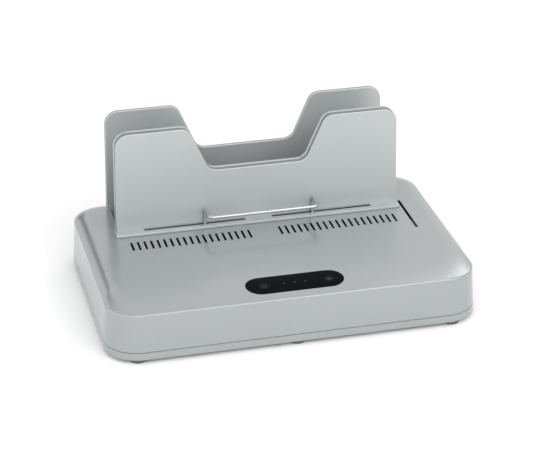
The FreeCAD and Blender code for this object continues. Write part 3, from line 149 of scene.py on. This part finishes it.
# %% [markdown]
# ## Lamps
# Every lamp is a large rectangle, so shadows stay soft. The front, right and left boxes
# light the walls, the top box reaches over the front plate to the rear one, the small
# back box lifts the far edges, and the thin strip draws the bright line along the rim.


# %% Lamps
def softbox(name, place, aim, width, height, watts):
    """A large rectangular lamp at a place, turned to its aim, in metres and watts."""
    data = bpy.data.lights.new(name, "AREA")
    data.shape = "RECTANGLE"
    data.size = width
    data.size_y = height
    data.energy = watts
    lamp = bpy.data.objects.new(name, data)
    lamp.location = place
    lamp.rotation_mode = "QUATERNION"
    lamp.rotation_quaternion = (Vector(aim) - Vector(place)).to_track_quat("-Z", "Y")
    bpy.context.collection.objects.link(lamp)
    return lamp


softbox("front_box", (-0.4, -2.6, 1.5), (0, 0, 0.08), 4.0, 2.6, 20)
softbox("right_box", (1.7, -2.1, 1.7), (0, 0, 0.08), 2.2, 1.8, 15)
softbox("left_box", (-2.2, -0.2, 1.1), (0, 0, 0.06), 3.0, 2.0, 12)
softbox("back_box", (1.4, 1.6, 1.9), (0.1, 0, 0.05), 0.8, 0.8, 5)
softbox("top_box", (0.3, -1.8, 1.9), (0, 0, 0.1), 3.0, 1.2, 15)
softbox("top_strip", (0, -0.5, 2.2), (0, -0.1, 0.05), 2.4, 0.10, 3)

# %% [markdown]
# ## Dark card
# A dark card behind the left of the set, out of the camera's view, draws the
# soft dark line that glossy paint shows along the left shoulder of the deck.

# %% Dark card
CARD_PLACE = (-0.42, 3.0, 1.6)
CARD_WIDTH = 0.5
CARD_HEIGHT = 2.2
CARD_TONE = 0.01
UPRIGHT = (math.radians(90), 0, 0)
bpy.ops.object.select_all(action="DESELECT")
bpy.ops.mesh.primitive_plane_add(size=1, location=CARD_PLACE, rotation=UPRIGHT)
card = bpy.context.object
card.name = "studio_dark_card"
card.scale = (CARD_WIDTH, CARD_HEIGHT, 1)
card.data.materials.append(matte("studio_dark_card", CARD_TONE, rough=1.0))
print("card in m:", CARD_WIDTH, CARD_HEIGHT)

# %% [markdown]
# ## Shared effects
# Three small effects turn up in many of the finishes, so each is a node group: a fine grain that
# moves roughness and height, a slow drift of tone across a large surface, and flakes in metallic
# paint. All of them read the piece's own coordinates. First come the helpers that the groups share.

# %% Group helpers
NOISE_LOW = 0.3
NOISE_HIGH = 0.7


def new_group(name, inputs, outputs):
    """An empty shader group with named sockets."""
    group = bpy.data.node_groups.new(name, "ShaderNodeTree")
    for label, kind, value in inputs:
        socket = group.interface.new_socket(name=label, in_out="INPUT", socket_type=kind)
        socket.default_value = value
    for label, kind in outputs:
        group.interface.new_socket(name=label, in_out="OUTPUT", socket_type=kind)
    return group, group.nodes.new("NodeGroupInput"), group.nodes.new("NodeGroupOutput")


def noise(group, scale, detail=2.0):
    """A noise on the piece's own coordinates, with its scale per metre."""
    place = group.nodes.new("ShaderNodeTexCoord")
    texture = group.nodes.new("ShaderNodeTexNoise")
    texture.inputs["Detail"].default_value = detail
    group.links.new(place.outputs["Object"], texture.inputs["Vector"])
    if isinstance(scale, (int, float)):
        texture.inputs["Scale"].default_value = scale
    else:
        group.links.new(scale, texture.inputs["Scale"])
    return texture


def spread(group, source, low, high):
    """Map a 0 to 1 signal between two sockets or numbers."""
    stretch = group.nodes.new("ShaderNodeMapRange")
    stretch.inputs["From Min"].default_value = NOISE_LOW
    stretch.inputs["From Max"].default_value = NOISE_HIGH
    group.links.new(source, stretch.inputs["Value"])
    for label, value in (("To Min", low), ("To Max", high)):
        if isinstance(value, (int, float)):
            stretch.inputs[label].default_value = value
        else:
            group.links.new(value, stretch.inputs[label])
    return stretch.outputs["Result"]


print("most of a noise lies between", NOISE_LOW, "and", NOISE_HIGH)

# %% [markdown]
# ## Grain
# Moulded plastic, sprayed paint and sanded metal all have a fine grain. It makes the gloss uneven, and
# its height feeds a bump. A slower noise is mixed in, so that the gloss also changes over centimetres.

# %% Fine grain
WIDE_GRAIN = 35.0


def grain_group():
    """Fine moulded or sanded grain: a roughness between two values, and a height for a bump."""
    group, source, sink = new_group(
        "fine_grain",
        [("Grain per metre", "NodeSocketFloat", 2500.0), ("Smoothest", "NodeSocketFloat", 0.3),
         ("Roughest", "NodeSocketFloat", 0.45)],
        [("Roughness", "NodeSocketFloat"), ("Height", "NodeSocketFloat")])
    texture = noise(group, source.outputs["Grain per metre"])
    wide = noise(group, WIDE_GRAIN)
    blend = group.nodes.new("ShaderNodeMix")
    blend.inputs["Factor"].default_value = 0.5
    group.links.new(texture.outputs["Fac"], blend.inputs["A"])
    group.links.new(wide.outputs["Fac"], blend.inputs["B"])
    result = spread(group, blend.outputs["Result"], source.outputs["Smoothest"], source.outputs["Roughest"])
    group.links.new(result, sink.inputs["Roughness"])
    group.links.new(texture.outputs["Fac"], sink.inputs["Height"])
    return group


GRAIN = grain_group()
print("group:", GRAIN.name)

# %% [markdown]
# ## Drift
# No large surface has exactly one tone. This effect moves slowly between two close ones.


# %% Tone drift
def drift_group():
    """A slow change between two close tones over a large surface."""
    group, source, sink = new_group(
        "tone_drift",
        [("Drift per metre", "NodeSocketFloat", 9.0), ("Tone one", "NodeSocketColor", (0.5, 0.5, 0.5, 1)),
         ("Tone two", "NodeSocketColor", (0.55, 0.55, 0.55, 1))],
        [("Color", "NodeSocketColor")])
    texture = noise(group, source.outputs["Drift per metre"], detail=3.0)
    share = spread(group, texture.outputs["Fac"], 0.0, 1.0)
    blend = group.nodes.new("ShaderNodeMix")
    blend.data_type = "RGBA"
    first, second, mixed = blend.inputs[6], blend.inputs[7], blend.outputs[2]
    group.links.new(share, blend.inputs["Factor"])
    group.links.new(source.outputs["Tone one"], first)
    group.links.new(source.outputs["Tone two"], second)
    group.links.new(mixed, sink.inputs["Color"])
    return group


DRIFT = drift_group()
print("group:", DRIFT.name)

# %% [markdown]
# ## Flakes
# Metallic paint carries tiny flakes. A cell pattern gives each flake its own small step in brightness.


# %% Paint flakes
def flake_group():
    """Metal flakes in paint: tiny cells that are a little lighter or darker."""
    group, source, sink = new_group(
        "paint_flake",
        [("Color", "NodeSocketColor", (0.5, 0.5, 0.5, 1)), ("Flakes per metre", "NodeSocketFloat", 2600.0),
         ("Sparkle", "NodeSocketFloat", 0.08)],
        [("Color", "NodeSocketColor")])
    place = group.nodes.new("ShaderNodeTexCoord")
    cells = group.nodes.new("ShaderNodeTexVoronoi")
    group.links.new(place.outputs["Object"], cells.inputs["Vector"])
    group.links.new(source.outputs["Flakes per metre"], cells.inputs["Scale"])
    split = group.nodes.new("ShaderNodeSeparateColor")
    group.links.new(cells.outputs["Color"], split.inputs["Color"])
    centre = group.nodes.new("ShaderNodeMath")
    centre.operation = "SUBTRACT"
    centre.inputs[1].default_value = 0.5
    group.links.new(split.outputs["Red"], centre.inputs[0])
    amount = group.nodes.new("ShaderNodeMath")
    amount.operation = "MULTIPLY_ADD"
    amount.inputs[2].default_value = 1.0
    group.links.new(centre.outputs["Value"], amount.inputs[0])
    group.links.new(source.outputs["Sparkle"], amount.inputs[1])
    tint = group.nodes.new("ShaderNodeVectorMath")
    tint.operation = "SCALE"
    group.links.new(source.outputs["Color"], tint.inputs[0])
    group.links.new(amount.outputs["Value"], tint.inputs["Scale"])
    group.links.new(tint.outputs["Vector"], sink.inputs["Color"])
    return group


FLAKE = flake_group()
print("group:", FLAKE.name)

# %% [markdown]
# ## Finishes
# Each finish is one material built from the shared effects, with its own numbers. The silver is a sprayed
# metallic paint under a thin clear coat, so it is part metal, satin, and has a faint orange peel.

# %% Finish maker
RELIEF_DEPTH = 0.1 * MM


def finish(name, tones, smooth, rough, grain=2500.0, metal=0.0, drift=9.0, bump=0.05, flakes=0.0,
           sparkle=0.08, **plain):
    """A material from two close tones and a range of roughness. Plain socket values come last, by name."""
    material = bpy.data.materials.new(name)
    material.use_nodes = True
    tree = material.node_tree
    shader = tree.nodes["Principled BSDF"]
    tone = tree.nodes.new("ShaderNodeGroup")
    tone.node_tree = DRIFT
    tone.inputs["Drift per metre"].default_value = drift
    tone.inputs["Tone one"].default_value = (*tones[0], 1)
    tone.inputs["Tone two"].default_value = (*tones[1], 1)
    texture = tree.nodes.new("ShaderNodeGroup")
    texture.node_tree = GRAIN
    texture.inputs["Grain per metre"].default_value = grain
    texture.inputs["Smoothest"].default_value = smooth
    texture.inputs["Roughest"].default_value = rough
    tree.links.new(texture.outputs["Roughness"], shader.inputs["Roughness"])
    color = tone.outputs["Color"]
    if flakes:
        speck = tree.nodes.new("ShaderNodeGroup")
        speck.node_tree = FLAKE
        speck.inputs["Flakes per metre"].default_value = flakes
        speck.inputs["Sparkle"].default_value = sparkle
        tree.links.new(color, speck.inputs["Color"])
        color = speck.outputs["Color"]
    tree.links.new(color, shader.inputs["Base Color"])
    if bump:
        relief = tree.nodes.new("ShaderNodeBump")
        relief.inputs["Strength"].default_value = bump
        relief.inputs["Distance"].default_value = RELIEF_DEPTH
        tree.links.new(texture.outputs["Height"], relief.inputs["Height"])
        tree.links.new(relief.outputs["Normal"], shader.inputs["Normal"])
    shader.inputs["Metallic"].default_value = metal
    for label, value in plain.items():
        shader.inputs[label.replace("_", " ")].default_value = value
    return material


def pair(red, green, blue, step=0.06):
    """Two close tones round a colour."""
    return tuple(tuple(channel * (1 + sign * step / 2) for channel in (red, green, blue)) for sign in (-1, 1))


print("relief in mm:", RELIEF_DEPTH / MM)

# %% [markdown]
# ## The recipes
# Each row gives the two tones, then the smoothest and the roughest value, the grain per metre, how
# metallic it is, the drift per metre and the bump. The two silvers add flakes and their sparkle.
# The blacks of the control strip are kept from mirroring the white studio by a low specular level.

# %% All the finishes, by material slot
FINISHES = {
    "silver_cover": finish("silver_cover", pair(0.357, 0.377, 0.381, 0.03), 0.20, 0.26, 900, 0.45, 6, 0.02,
                           3200, 0.08, Coat_Weight=0.25, Coat_Roughness=0.12),
    "silver_panel": finish("silver_panel", pair(0.463, 0.487, 0.49, 0.03), 0.28, 0.34, 900, 0.35, 7, 0.02,
                           3200, 0.08, Coat_Weight=0.2, Coat_Roughness=0.15),
    "bright_wire": finish("bright_wire", pair(0.50, 0.512, 0.515, 0.05), 0.14, 0.24, 1500, 1.0, 20, 0.02),
    "black_lens": finish("black_lens", pair(0.0016, 0.0026, 0.0036, 0.2), 0.08, 0.14, 700, 0.0, 15, 0.0,
                         Specular_IOR_Level=0.02),
    "black_button": finish("black_button", pair(0.0048, 0.0055, 0.008, 0.2), 0.16, 0.24, 4000, 0.0, 30, 0.02,
                           Specular_IOR_Level=0.03),
    "light_pipe": finish("light_pipe", pair(0.014, 0.016, 0.021, 0.2), 0.08, 0.14, 1500, 0.0, 40, 0.0,
                         Specular_IOR_Level=0.12),
    "rubber": finish("rubber", pair(0.11, 0.112, 0.11, 0.2), 0.6, 0.8, 2200, 0.0, 60, 0.25),
    "zinc_steel": finish("zinc_steel", pair(0.55, 0.55, 0.53, 0.08), 0.28, 0.42, 1800, 1.0, 80, 0.05),
    "dark_steel": finish("dark_steel", pair(0.035, 0.036, 0.038, 0.2), 0.42, 0.6, 1600, 0.6, 20, 0.05),
    "ground_steel": finish("ground_steel", pair(0.6, 0.6, 0.61, 0.04), 0.16, 0.26, 3000, 1.0, 20, 0.03),
    "heater_alloy": finish("heater_alloy", pair(0.32, 0.31, 0.30, 0.15), 0.34, 0.5, 1400, 0.9, 14, 0.06),
    "sheet_steel": finish("sheet_steel", pair(0.45, 0.46, 0.47, 0.15), 0.3, 0.48, 500, 1.0, 40, 0.05),
    "element": finish("element", pair(0.32, 0.10, 0.05, 0.15), 0.5, 0.65, 2400, 0.0, 20, 0.15),
    "mineral_board": finish("mineral_board", pair(0.62, 0.59, 0.52, 0.12), 0.85, 0.95, 900, 0.0, 30, 0.4),
    "black_plastic": finish("black_plastic", pair(0.02, 0.02, 0.021, 0.2), 0.4, 0.55, 3000, 0.0, 25, 0.12),
    "bronze_bush": finish("bronze_bush", pair(0.45, 0.29, 0.13, 0.12), 0.35, 0.5, 2600, 1.0, 60, 0.1),
    "circuit_board": finish("circuit_board", pair(0.02, 0.13, 0.05, 0.2), 0.3, 0.42, 1200, 0.0, 50, 0.05),
    "small_parts": finish("small_parts", pair(0.12, 0.12, 0.13, 0.15), 0.35, 0.5, 2000, 0.0, 30, 0.08),
    "plated_brass": finish("plated_brass", pair(0.62, 0.58, 0.45, 0.08), 0.2, 0.32, 2000, 1.0, 60, 0.03),
}
for name, node in frame["nodes"].items():
    node.data.materials.clear()
    node.data.materials.append(FINISHES[SLOT_OF[name]])
print("finishes:", len(FINISHES))

# %% [markdown]
# ## Skins that carry two finishes
# A node holds one finish. Where a piece shows two, a copy of its mesh
# is welded and stands in for it, so that single faces can be given the
# second one. The copy keeps the exact normals that the solid came with.

# %% Weld a copy
WELD_REACH = 0.001 * MM


def skin_of(name):
    """A welded copy of a node, which stands in for it."""
    node = frame["nodes"][name]
    bpy.ops.object.select_all(action="DESELECT")
    skin = bpy.data.objects.new(name + "_skin", node.data.copy())
    bpy.context.collection.objects.link(skin)
    bpy.context.view_layer.objects.active = skin
    skin.select_set(True)
    bpy.ops.object.mode_set(mode="EDIT")
    bpy.ops.mesh.select_all(action="SELECT")
    bpy.ops.mesh.remove_doubles(threshold=WELD_REACH)
    bpy.ops.object.mode_set(mode="OBJECT")
    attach(skin, BODY_OF[name])
    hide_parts(name)
    return skin


TWO_FINISHES = ("top_cover", "bottom_pan", "panel_foot", "front_panel_face", "rear_panel")
skins = {name: skin_of(name) for name in TWO_FINISHES}
print("skins:", {name: len(skin.data.polygons) for name, skin in skins.items()})

# %% [markdown]
# ## A clean crown
# The deck rolls down to the front rim along a shallow parabola. The mesh
# covers it with a few long triangles, which would streak in a gloss, so
# there the corners' normals are worked out from the parabola itself.

# %% Normals of the crown
RIM_FRONT = -128.94 * MM
CROWN_LENGTH = 54.0 * MM
CROWN_DROP = 4.0 * MM
CORNER_START = 158.0 * MM
RIM_ROUND = 1.0 * MM
NEARLY_LEVEL = 0.98


def crown_normal(y):
    """The outward direction of the deck at a distance from the front rim."""
    share = min(max((y - RIM_FRONT) / CROWN_LENGTH, 0.0), 1.0)
    return Vector((0, -2 * CROWN_DROP * (1 - share) / CROWN_LENGTH, 1)).normalized()


cover_mesh = skins["top_cover"].data
normals = [corner.vector.copy() for corner in cover_mesh.corner_normals]
rolled = 0
for face in cover_mesh.polygons:
    across = abs(face.center.x) < CORNER_START
    along = RIM_FRONT + RIM_ROUND < face.center.y < RIM_FRONT + CROWN_LENGTH
    if across and along and face.normal.z > NEARLY_LEVEL:
        rolled += 1
        for loop in face.loop_indices:
            vertex = cover_mesh.vertices[cover_mesh.loops[loop].vertex_index]
            normals[loop] = crown_normal(vertex.co.y)
cover_mesh.normals_split_custom_set(normals)
print("faces on the crown:", rolled)

# %% [markdown]
# ## Painted shade in slots and seam
# The walls of the cover's narrow slots and its underside get the dark plastic as painted shade, which is why
# the vents read black. The strip's slits get it too, and the ledge inside the seam of the two shells gets a
# grey painted shade.

# %% Painted shade in slots and seam
VENT_ZONE = (Vector((-146, 4, 50)) * MM, Vector((146, 26, 57.29)) * MM)
SLOT_ZONE = (Vector((156, -16, 50)) * MM, Vector((163, 96, 57.29)) * MM)
SEAM_ZONE = (Vector((-200, -140, 11.5)) * MM, Vector((200, 140, 12.4)) * MM)
STRIP_ZONE = (Vector((-126, 43, 50)) * MM, Vector((126, 47.4, 60.1)) * MM)
STEEP = 0.5
LEVEL = 0.9


def inside(point, zone):
    """Whether a point lies in a box."""
    return all(low <= value <= high for value, low, high in zip(point, *zone))


def repaint(skin, paint, chosen):
    """Give the chosen faces of a skin a second finish, and count them."""
    skin.data.materials.append(paint)
    faces = [face for face in skin.data.polygons if chosen(face)]
    for face in faces:
        face.material_index = 1
    return len(faces)


def cover_painted_shade(face):
    """The cover's slot walls and underside, which take a painted shade."""
    in_slot = inside(face.center, VENT_ZONE) or inside(face.center, SLOT_ZONE)
    return face.normal.z < -STEEP or (in_slot and abs(face.normal.z) < STEEP)


def pan_painted_shade(face):
    """The ledge of the pan that shows inside the seam, which takes a painted shade."""
    return inside(face.center, SEAM_ZONE) and face.normal.z > LEVEL


def strip_painted_shade(face):
    """The walls of the strip's two slits, which take a painted shade."""
    return inside(face.center, STRIP_ZONE) and abs(face.normal.z) < STEEP


# Painted shade: the dark plastic darkens the slot walls and the cover's underside.
PAINTED_SHADE_DARK = FINISHES["black_plastic"]
# Painted shade: a grey on the ledge darkens the seam between the two shells.
PAINTED_SEAM_SHADE = finish("painted_seam_shade", pair(0.20, 0.203, 0.203, 0.1), 0.5, 0.6, 2000, 0.0, 20, 0.05)
print("painted shade on the cover:", repaint(skins["top_cover"], PAINTED_SHADE_DARK, cover_painted_shade))
print("painted shade on the pan:", repaint(skins["bottom_pan"], PAINTED_SEAM_SHADE, pan_painted_shade))
print("painted shade in the strip:", repaint(skins["panel_foot"], PAINTED_SHADE_DARK, strip_painted_shade))

# %% [markdown]
# ## Painted shade on the plates' edges
# The narrow edges of the plates get duller and darker finishes as painted shade. On the front plate this
# draws the dark line of shade between the outer sheet and its backing.

# %% Painted shade on the edges
EDGE_ABOVE = 62 * MM
FACES_OUT = 0.6
# Painted shade: both edge finishes are darker than the plates' own paint.
OUTER_EDGE_SHADE = finish("outer_edge_shade", pair(0.185, 0.195, 0.198, 0.08), 0.45, 0.55, 1500, 0.0, 12, 0.04)
REAR_EDGE_SHADE = finish("rear_edge_shade", pair(0.30, 0.312, 0.315, 0.06), 0.42, 0.52, 1500, 0.1, 12, 0.04)


def on_edge(face):
    """Whether a face of a plate lies on its outline, above the deck."""
    return abs(face.normal.y) < FACES_OUT and face.center.z > EDGE_ABOVE


print("edge of the outer sheet:", repaint(skins["front_panel_face"], OUTER_EDGE_SHADE, on_edge))
print("edge of the rear plate:", repaint(skins["rear_panel"], REAR_EDGE_SHADE, on_edge))

# %% [markdown]
# ## Screw heads
# Seen from below, each case screw has a cross in its head for the
# screwdriver. The heads' outer faces are the lowest points of the screws,
# so the vertices there, gathered into groups a head wide, give the centres.

# %% Find the screw heads
HEAD_WIDTH = 7.0 * MM
ON_FACE = 0.01 * MM
screw_skin = skin_of("case_screws")
lowest = min(vertex.co.z for vertex in screw_skin.data.vertices)
heads = []
for vertex in screw_skin.data.vertices:
    if vertex.co.z < lowest + ON_FACE:
        close = [head for head in heads if (head[0] - vertex.co).length < HEAD_WIDTH]
        if close:
            close[0].append(vertex.co.copy())
        else:
            heads.append([vertex.co.copy()])
centres = [sum(head, Vector()) / len(head) for head in heads]
print("screw heads:", len(centres))

# %% [markdown]
# ## Cross recesses
# A real recess is stamped into the head. Here bars are cut out of the welded copy with a boolean, first
# one bar in every head and then a second one at right angles, so that each cutter stays a plain block.
# The cut bends the normals that came with the solid, so they are cleared and worked out by angle.

# %% Recesses in the case screws
RECESS_LENGTH = 3.4 * MM
RECESS_WIDTH = 0.9 * MM
RECESS_DEPTH = 1.0 * MM
ROUND_BELOW = math.radians(30)


def cutting_bars(turn):
    """One bar across every screw head at an angle, joined into one object."""
    bars = []
    for centre in centres:
        bpy.ops.mesh.primitive_cube_add(size=1, location=centre, rotation=(0, 0, turn))
        bpy.context.object.scale = (RECESS_LENGTH, RECESS_WIDTH, 2 * RECESS_DEPTH)
        bars.append(bpy.context.object)
    bpy.ops.object.select_all(action="DESELECT")
    for bar in bars:
        bar.select_set(True)
    bpy.context.view_layer.objects.active = bars[0]
    bpy.ops.object.join()
    bpy.ops.object.transform_apply(location=True, rotation=True, scale=True)
    return bpy.context.object


for quarter in (0, 1):
    cutter = cutting_bars(math.radians(90) * quarter)
    bpy.ops.object.select_all(action="DESELECT")
    bpy.context.view_layer.objects.active = screw_skin
    screw_skin.select_set(True)
    recess = screw_skin.modifiers.new("recess", "BOOLEAN")
    recess.operation = "DIFFERENCE"
    recess.solver = "EXACT"
    recess.object = cutter
    bpy.ops.object.modifier_apply(modifier="recess")
    bpy.data.objects.remove(cutter)
bpy.ops.mesh.customdata_custom_splitnormals_clear()
bpy.ops.object.shade_smooth_by_angle(angle=ROUND_BELOW)
print("screws with a recess:", len(centres), "faces:", len(screw_skin.data.polygons))

# %% [markdown]
# ## Printed marks
# The keys and the rocker carry plain marks: a ring on each key with a start
# triangle on one, and the bar and ring of a mains switch. Each is a thin
# flat piece. A ray finds the surface under it, so that it lies on the slope.

# %% Mark maker
MARK_LIFT = 0.02 * MM
PRINT_DEPTH = 0.05 * MM
MARK_PAINT = finish("mark_paint", pair(0.055, 0.055, 0.058, 0.2), 0.4, 0.5, 4000, 0.0, 60, 0.02)
SWITCH_PAINT = finish("switch_paint", pair(0.75, 0.75, 0.73, 0.06), 0.4, 0.5, 4000, 0.0, 60, 0.02)
UP = Vector((0, 0, 1))
REAR = Vector((0, 1, 0))
RAY_START = 50 * MM


def surface_under(name, spot, side):
    """The point and the outward normal where a ray from that side meets a node."""
    return frame["nodes"][name].ray_cast(spot + side * RAY_START, -side)[1:3]


def flat_mark(title, name, spot, side, corners, radius, line=None, stretch=1.0, paint=MARK_PAINT):
    """A flat shape printed on a node: a disc, or a ring when the line has a width."""
    point, normal = surface_under(name, spot, side)
    bpy.ops.object.select_all(action="DESELECT")
    turn_to = normal.to_track_quat("Z", "Y").to_euler()
    bpy.ops.mesh.primitive_circle_add(vertices=corners, radius=radius, fill_type="NGON",
                                      location=point + normal * MARK_LIFT, rotation=turn_to)
    mark = bpy.context.object
    mark.name = title
    mark.scale = (1.0 / stretch, stretch, 1.0)
    bpy.ops.object.transform_apply(location=True, rotation=True, scale=True)
    bpy.ops.object.mode_set(mode="EDIT")
    bpy.ops.mesh.select_all(action="SELECT")
    if line:
        bpy.ops.mesh.inset(thickness=line)
        bpy.ops.mesh.delete(type="FACE")
        bpy.ops.mesh.select_all(action="SELECT")
    bpy.ops.mesh.extrude_region_move(TRANSFORM_OT_translate={"value": -normal * PRINT_DEPTH})
    bpy.ops.mesh.select_all(action="SELECT")
    bpy.ops.mesh.normals_make_consistent(inside=False)
    bpy.ops.object.mode_set(mode="OBJECT")
    mark.data.materials.append(paint)
    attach(mark, BODY_OF[name])
    return mark


print("print depth in mm:", PRINT_DEPTH / MM)

# %% [markdown]
# ## Marks on the keys and the rocker
# The key marks sit in the middle of each key's top. The switch marks sit above and below
# the rocker's pivot, and each rides on the body of the piece that it is printed on.

# %% Marks on the keys and the rocker
KEY_RING = 2.6 * MM
KEY_LINE = 0.35 * MM
ARROW = 1.1 * MM
SWITCH_RING = 1.3 * MM
SWITCH_LINE = 0.4 * MM
SWITCH_BAR = 0.75 * MM
BAR_STRETCH = 1.8
ROCKER_SPACING = Vector((0, 0, 3.6)) * MM


def middle_of(name):
    """The middle of a node's box."""
    low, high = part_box(name)
    return (low + high) / 2


marks = []
for key in ("start_button", "mode_button"):
    marks.append(flat_mark(key + "_ring", key, middle_of(key), UP,
                           corners=48, radius=KEY_RING, line=KEY_LINE))
marks.append(flat_mark("start_button_arrow", "start_button", middle_of("start_button"), UP,
                       corners=3, radius=ARROW))
rocker_middle = middle_of("power_rocker")
marks.append(flat_mark("rocker_off_ring", "power_rocker", rocker_middle - ROCKER_SPACING, REAR,
                       corners=32, radius=SWITCH_RING, line=SWITCH_LINE, paint=SWITCH_PAINT))
marks.append(flat_mark("rocker_on_bar", "power_rocker", rocker_middle + ROCKER_SPACING, REAR,
                       corners=4, radius=SWITCH_BAR, stretch=BAR_STRETCH, paint=SWITCH_PAINT))
print("marks:", [mark.name for mark in marks])
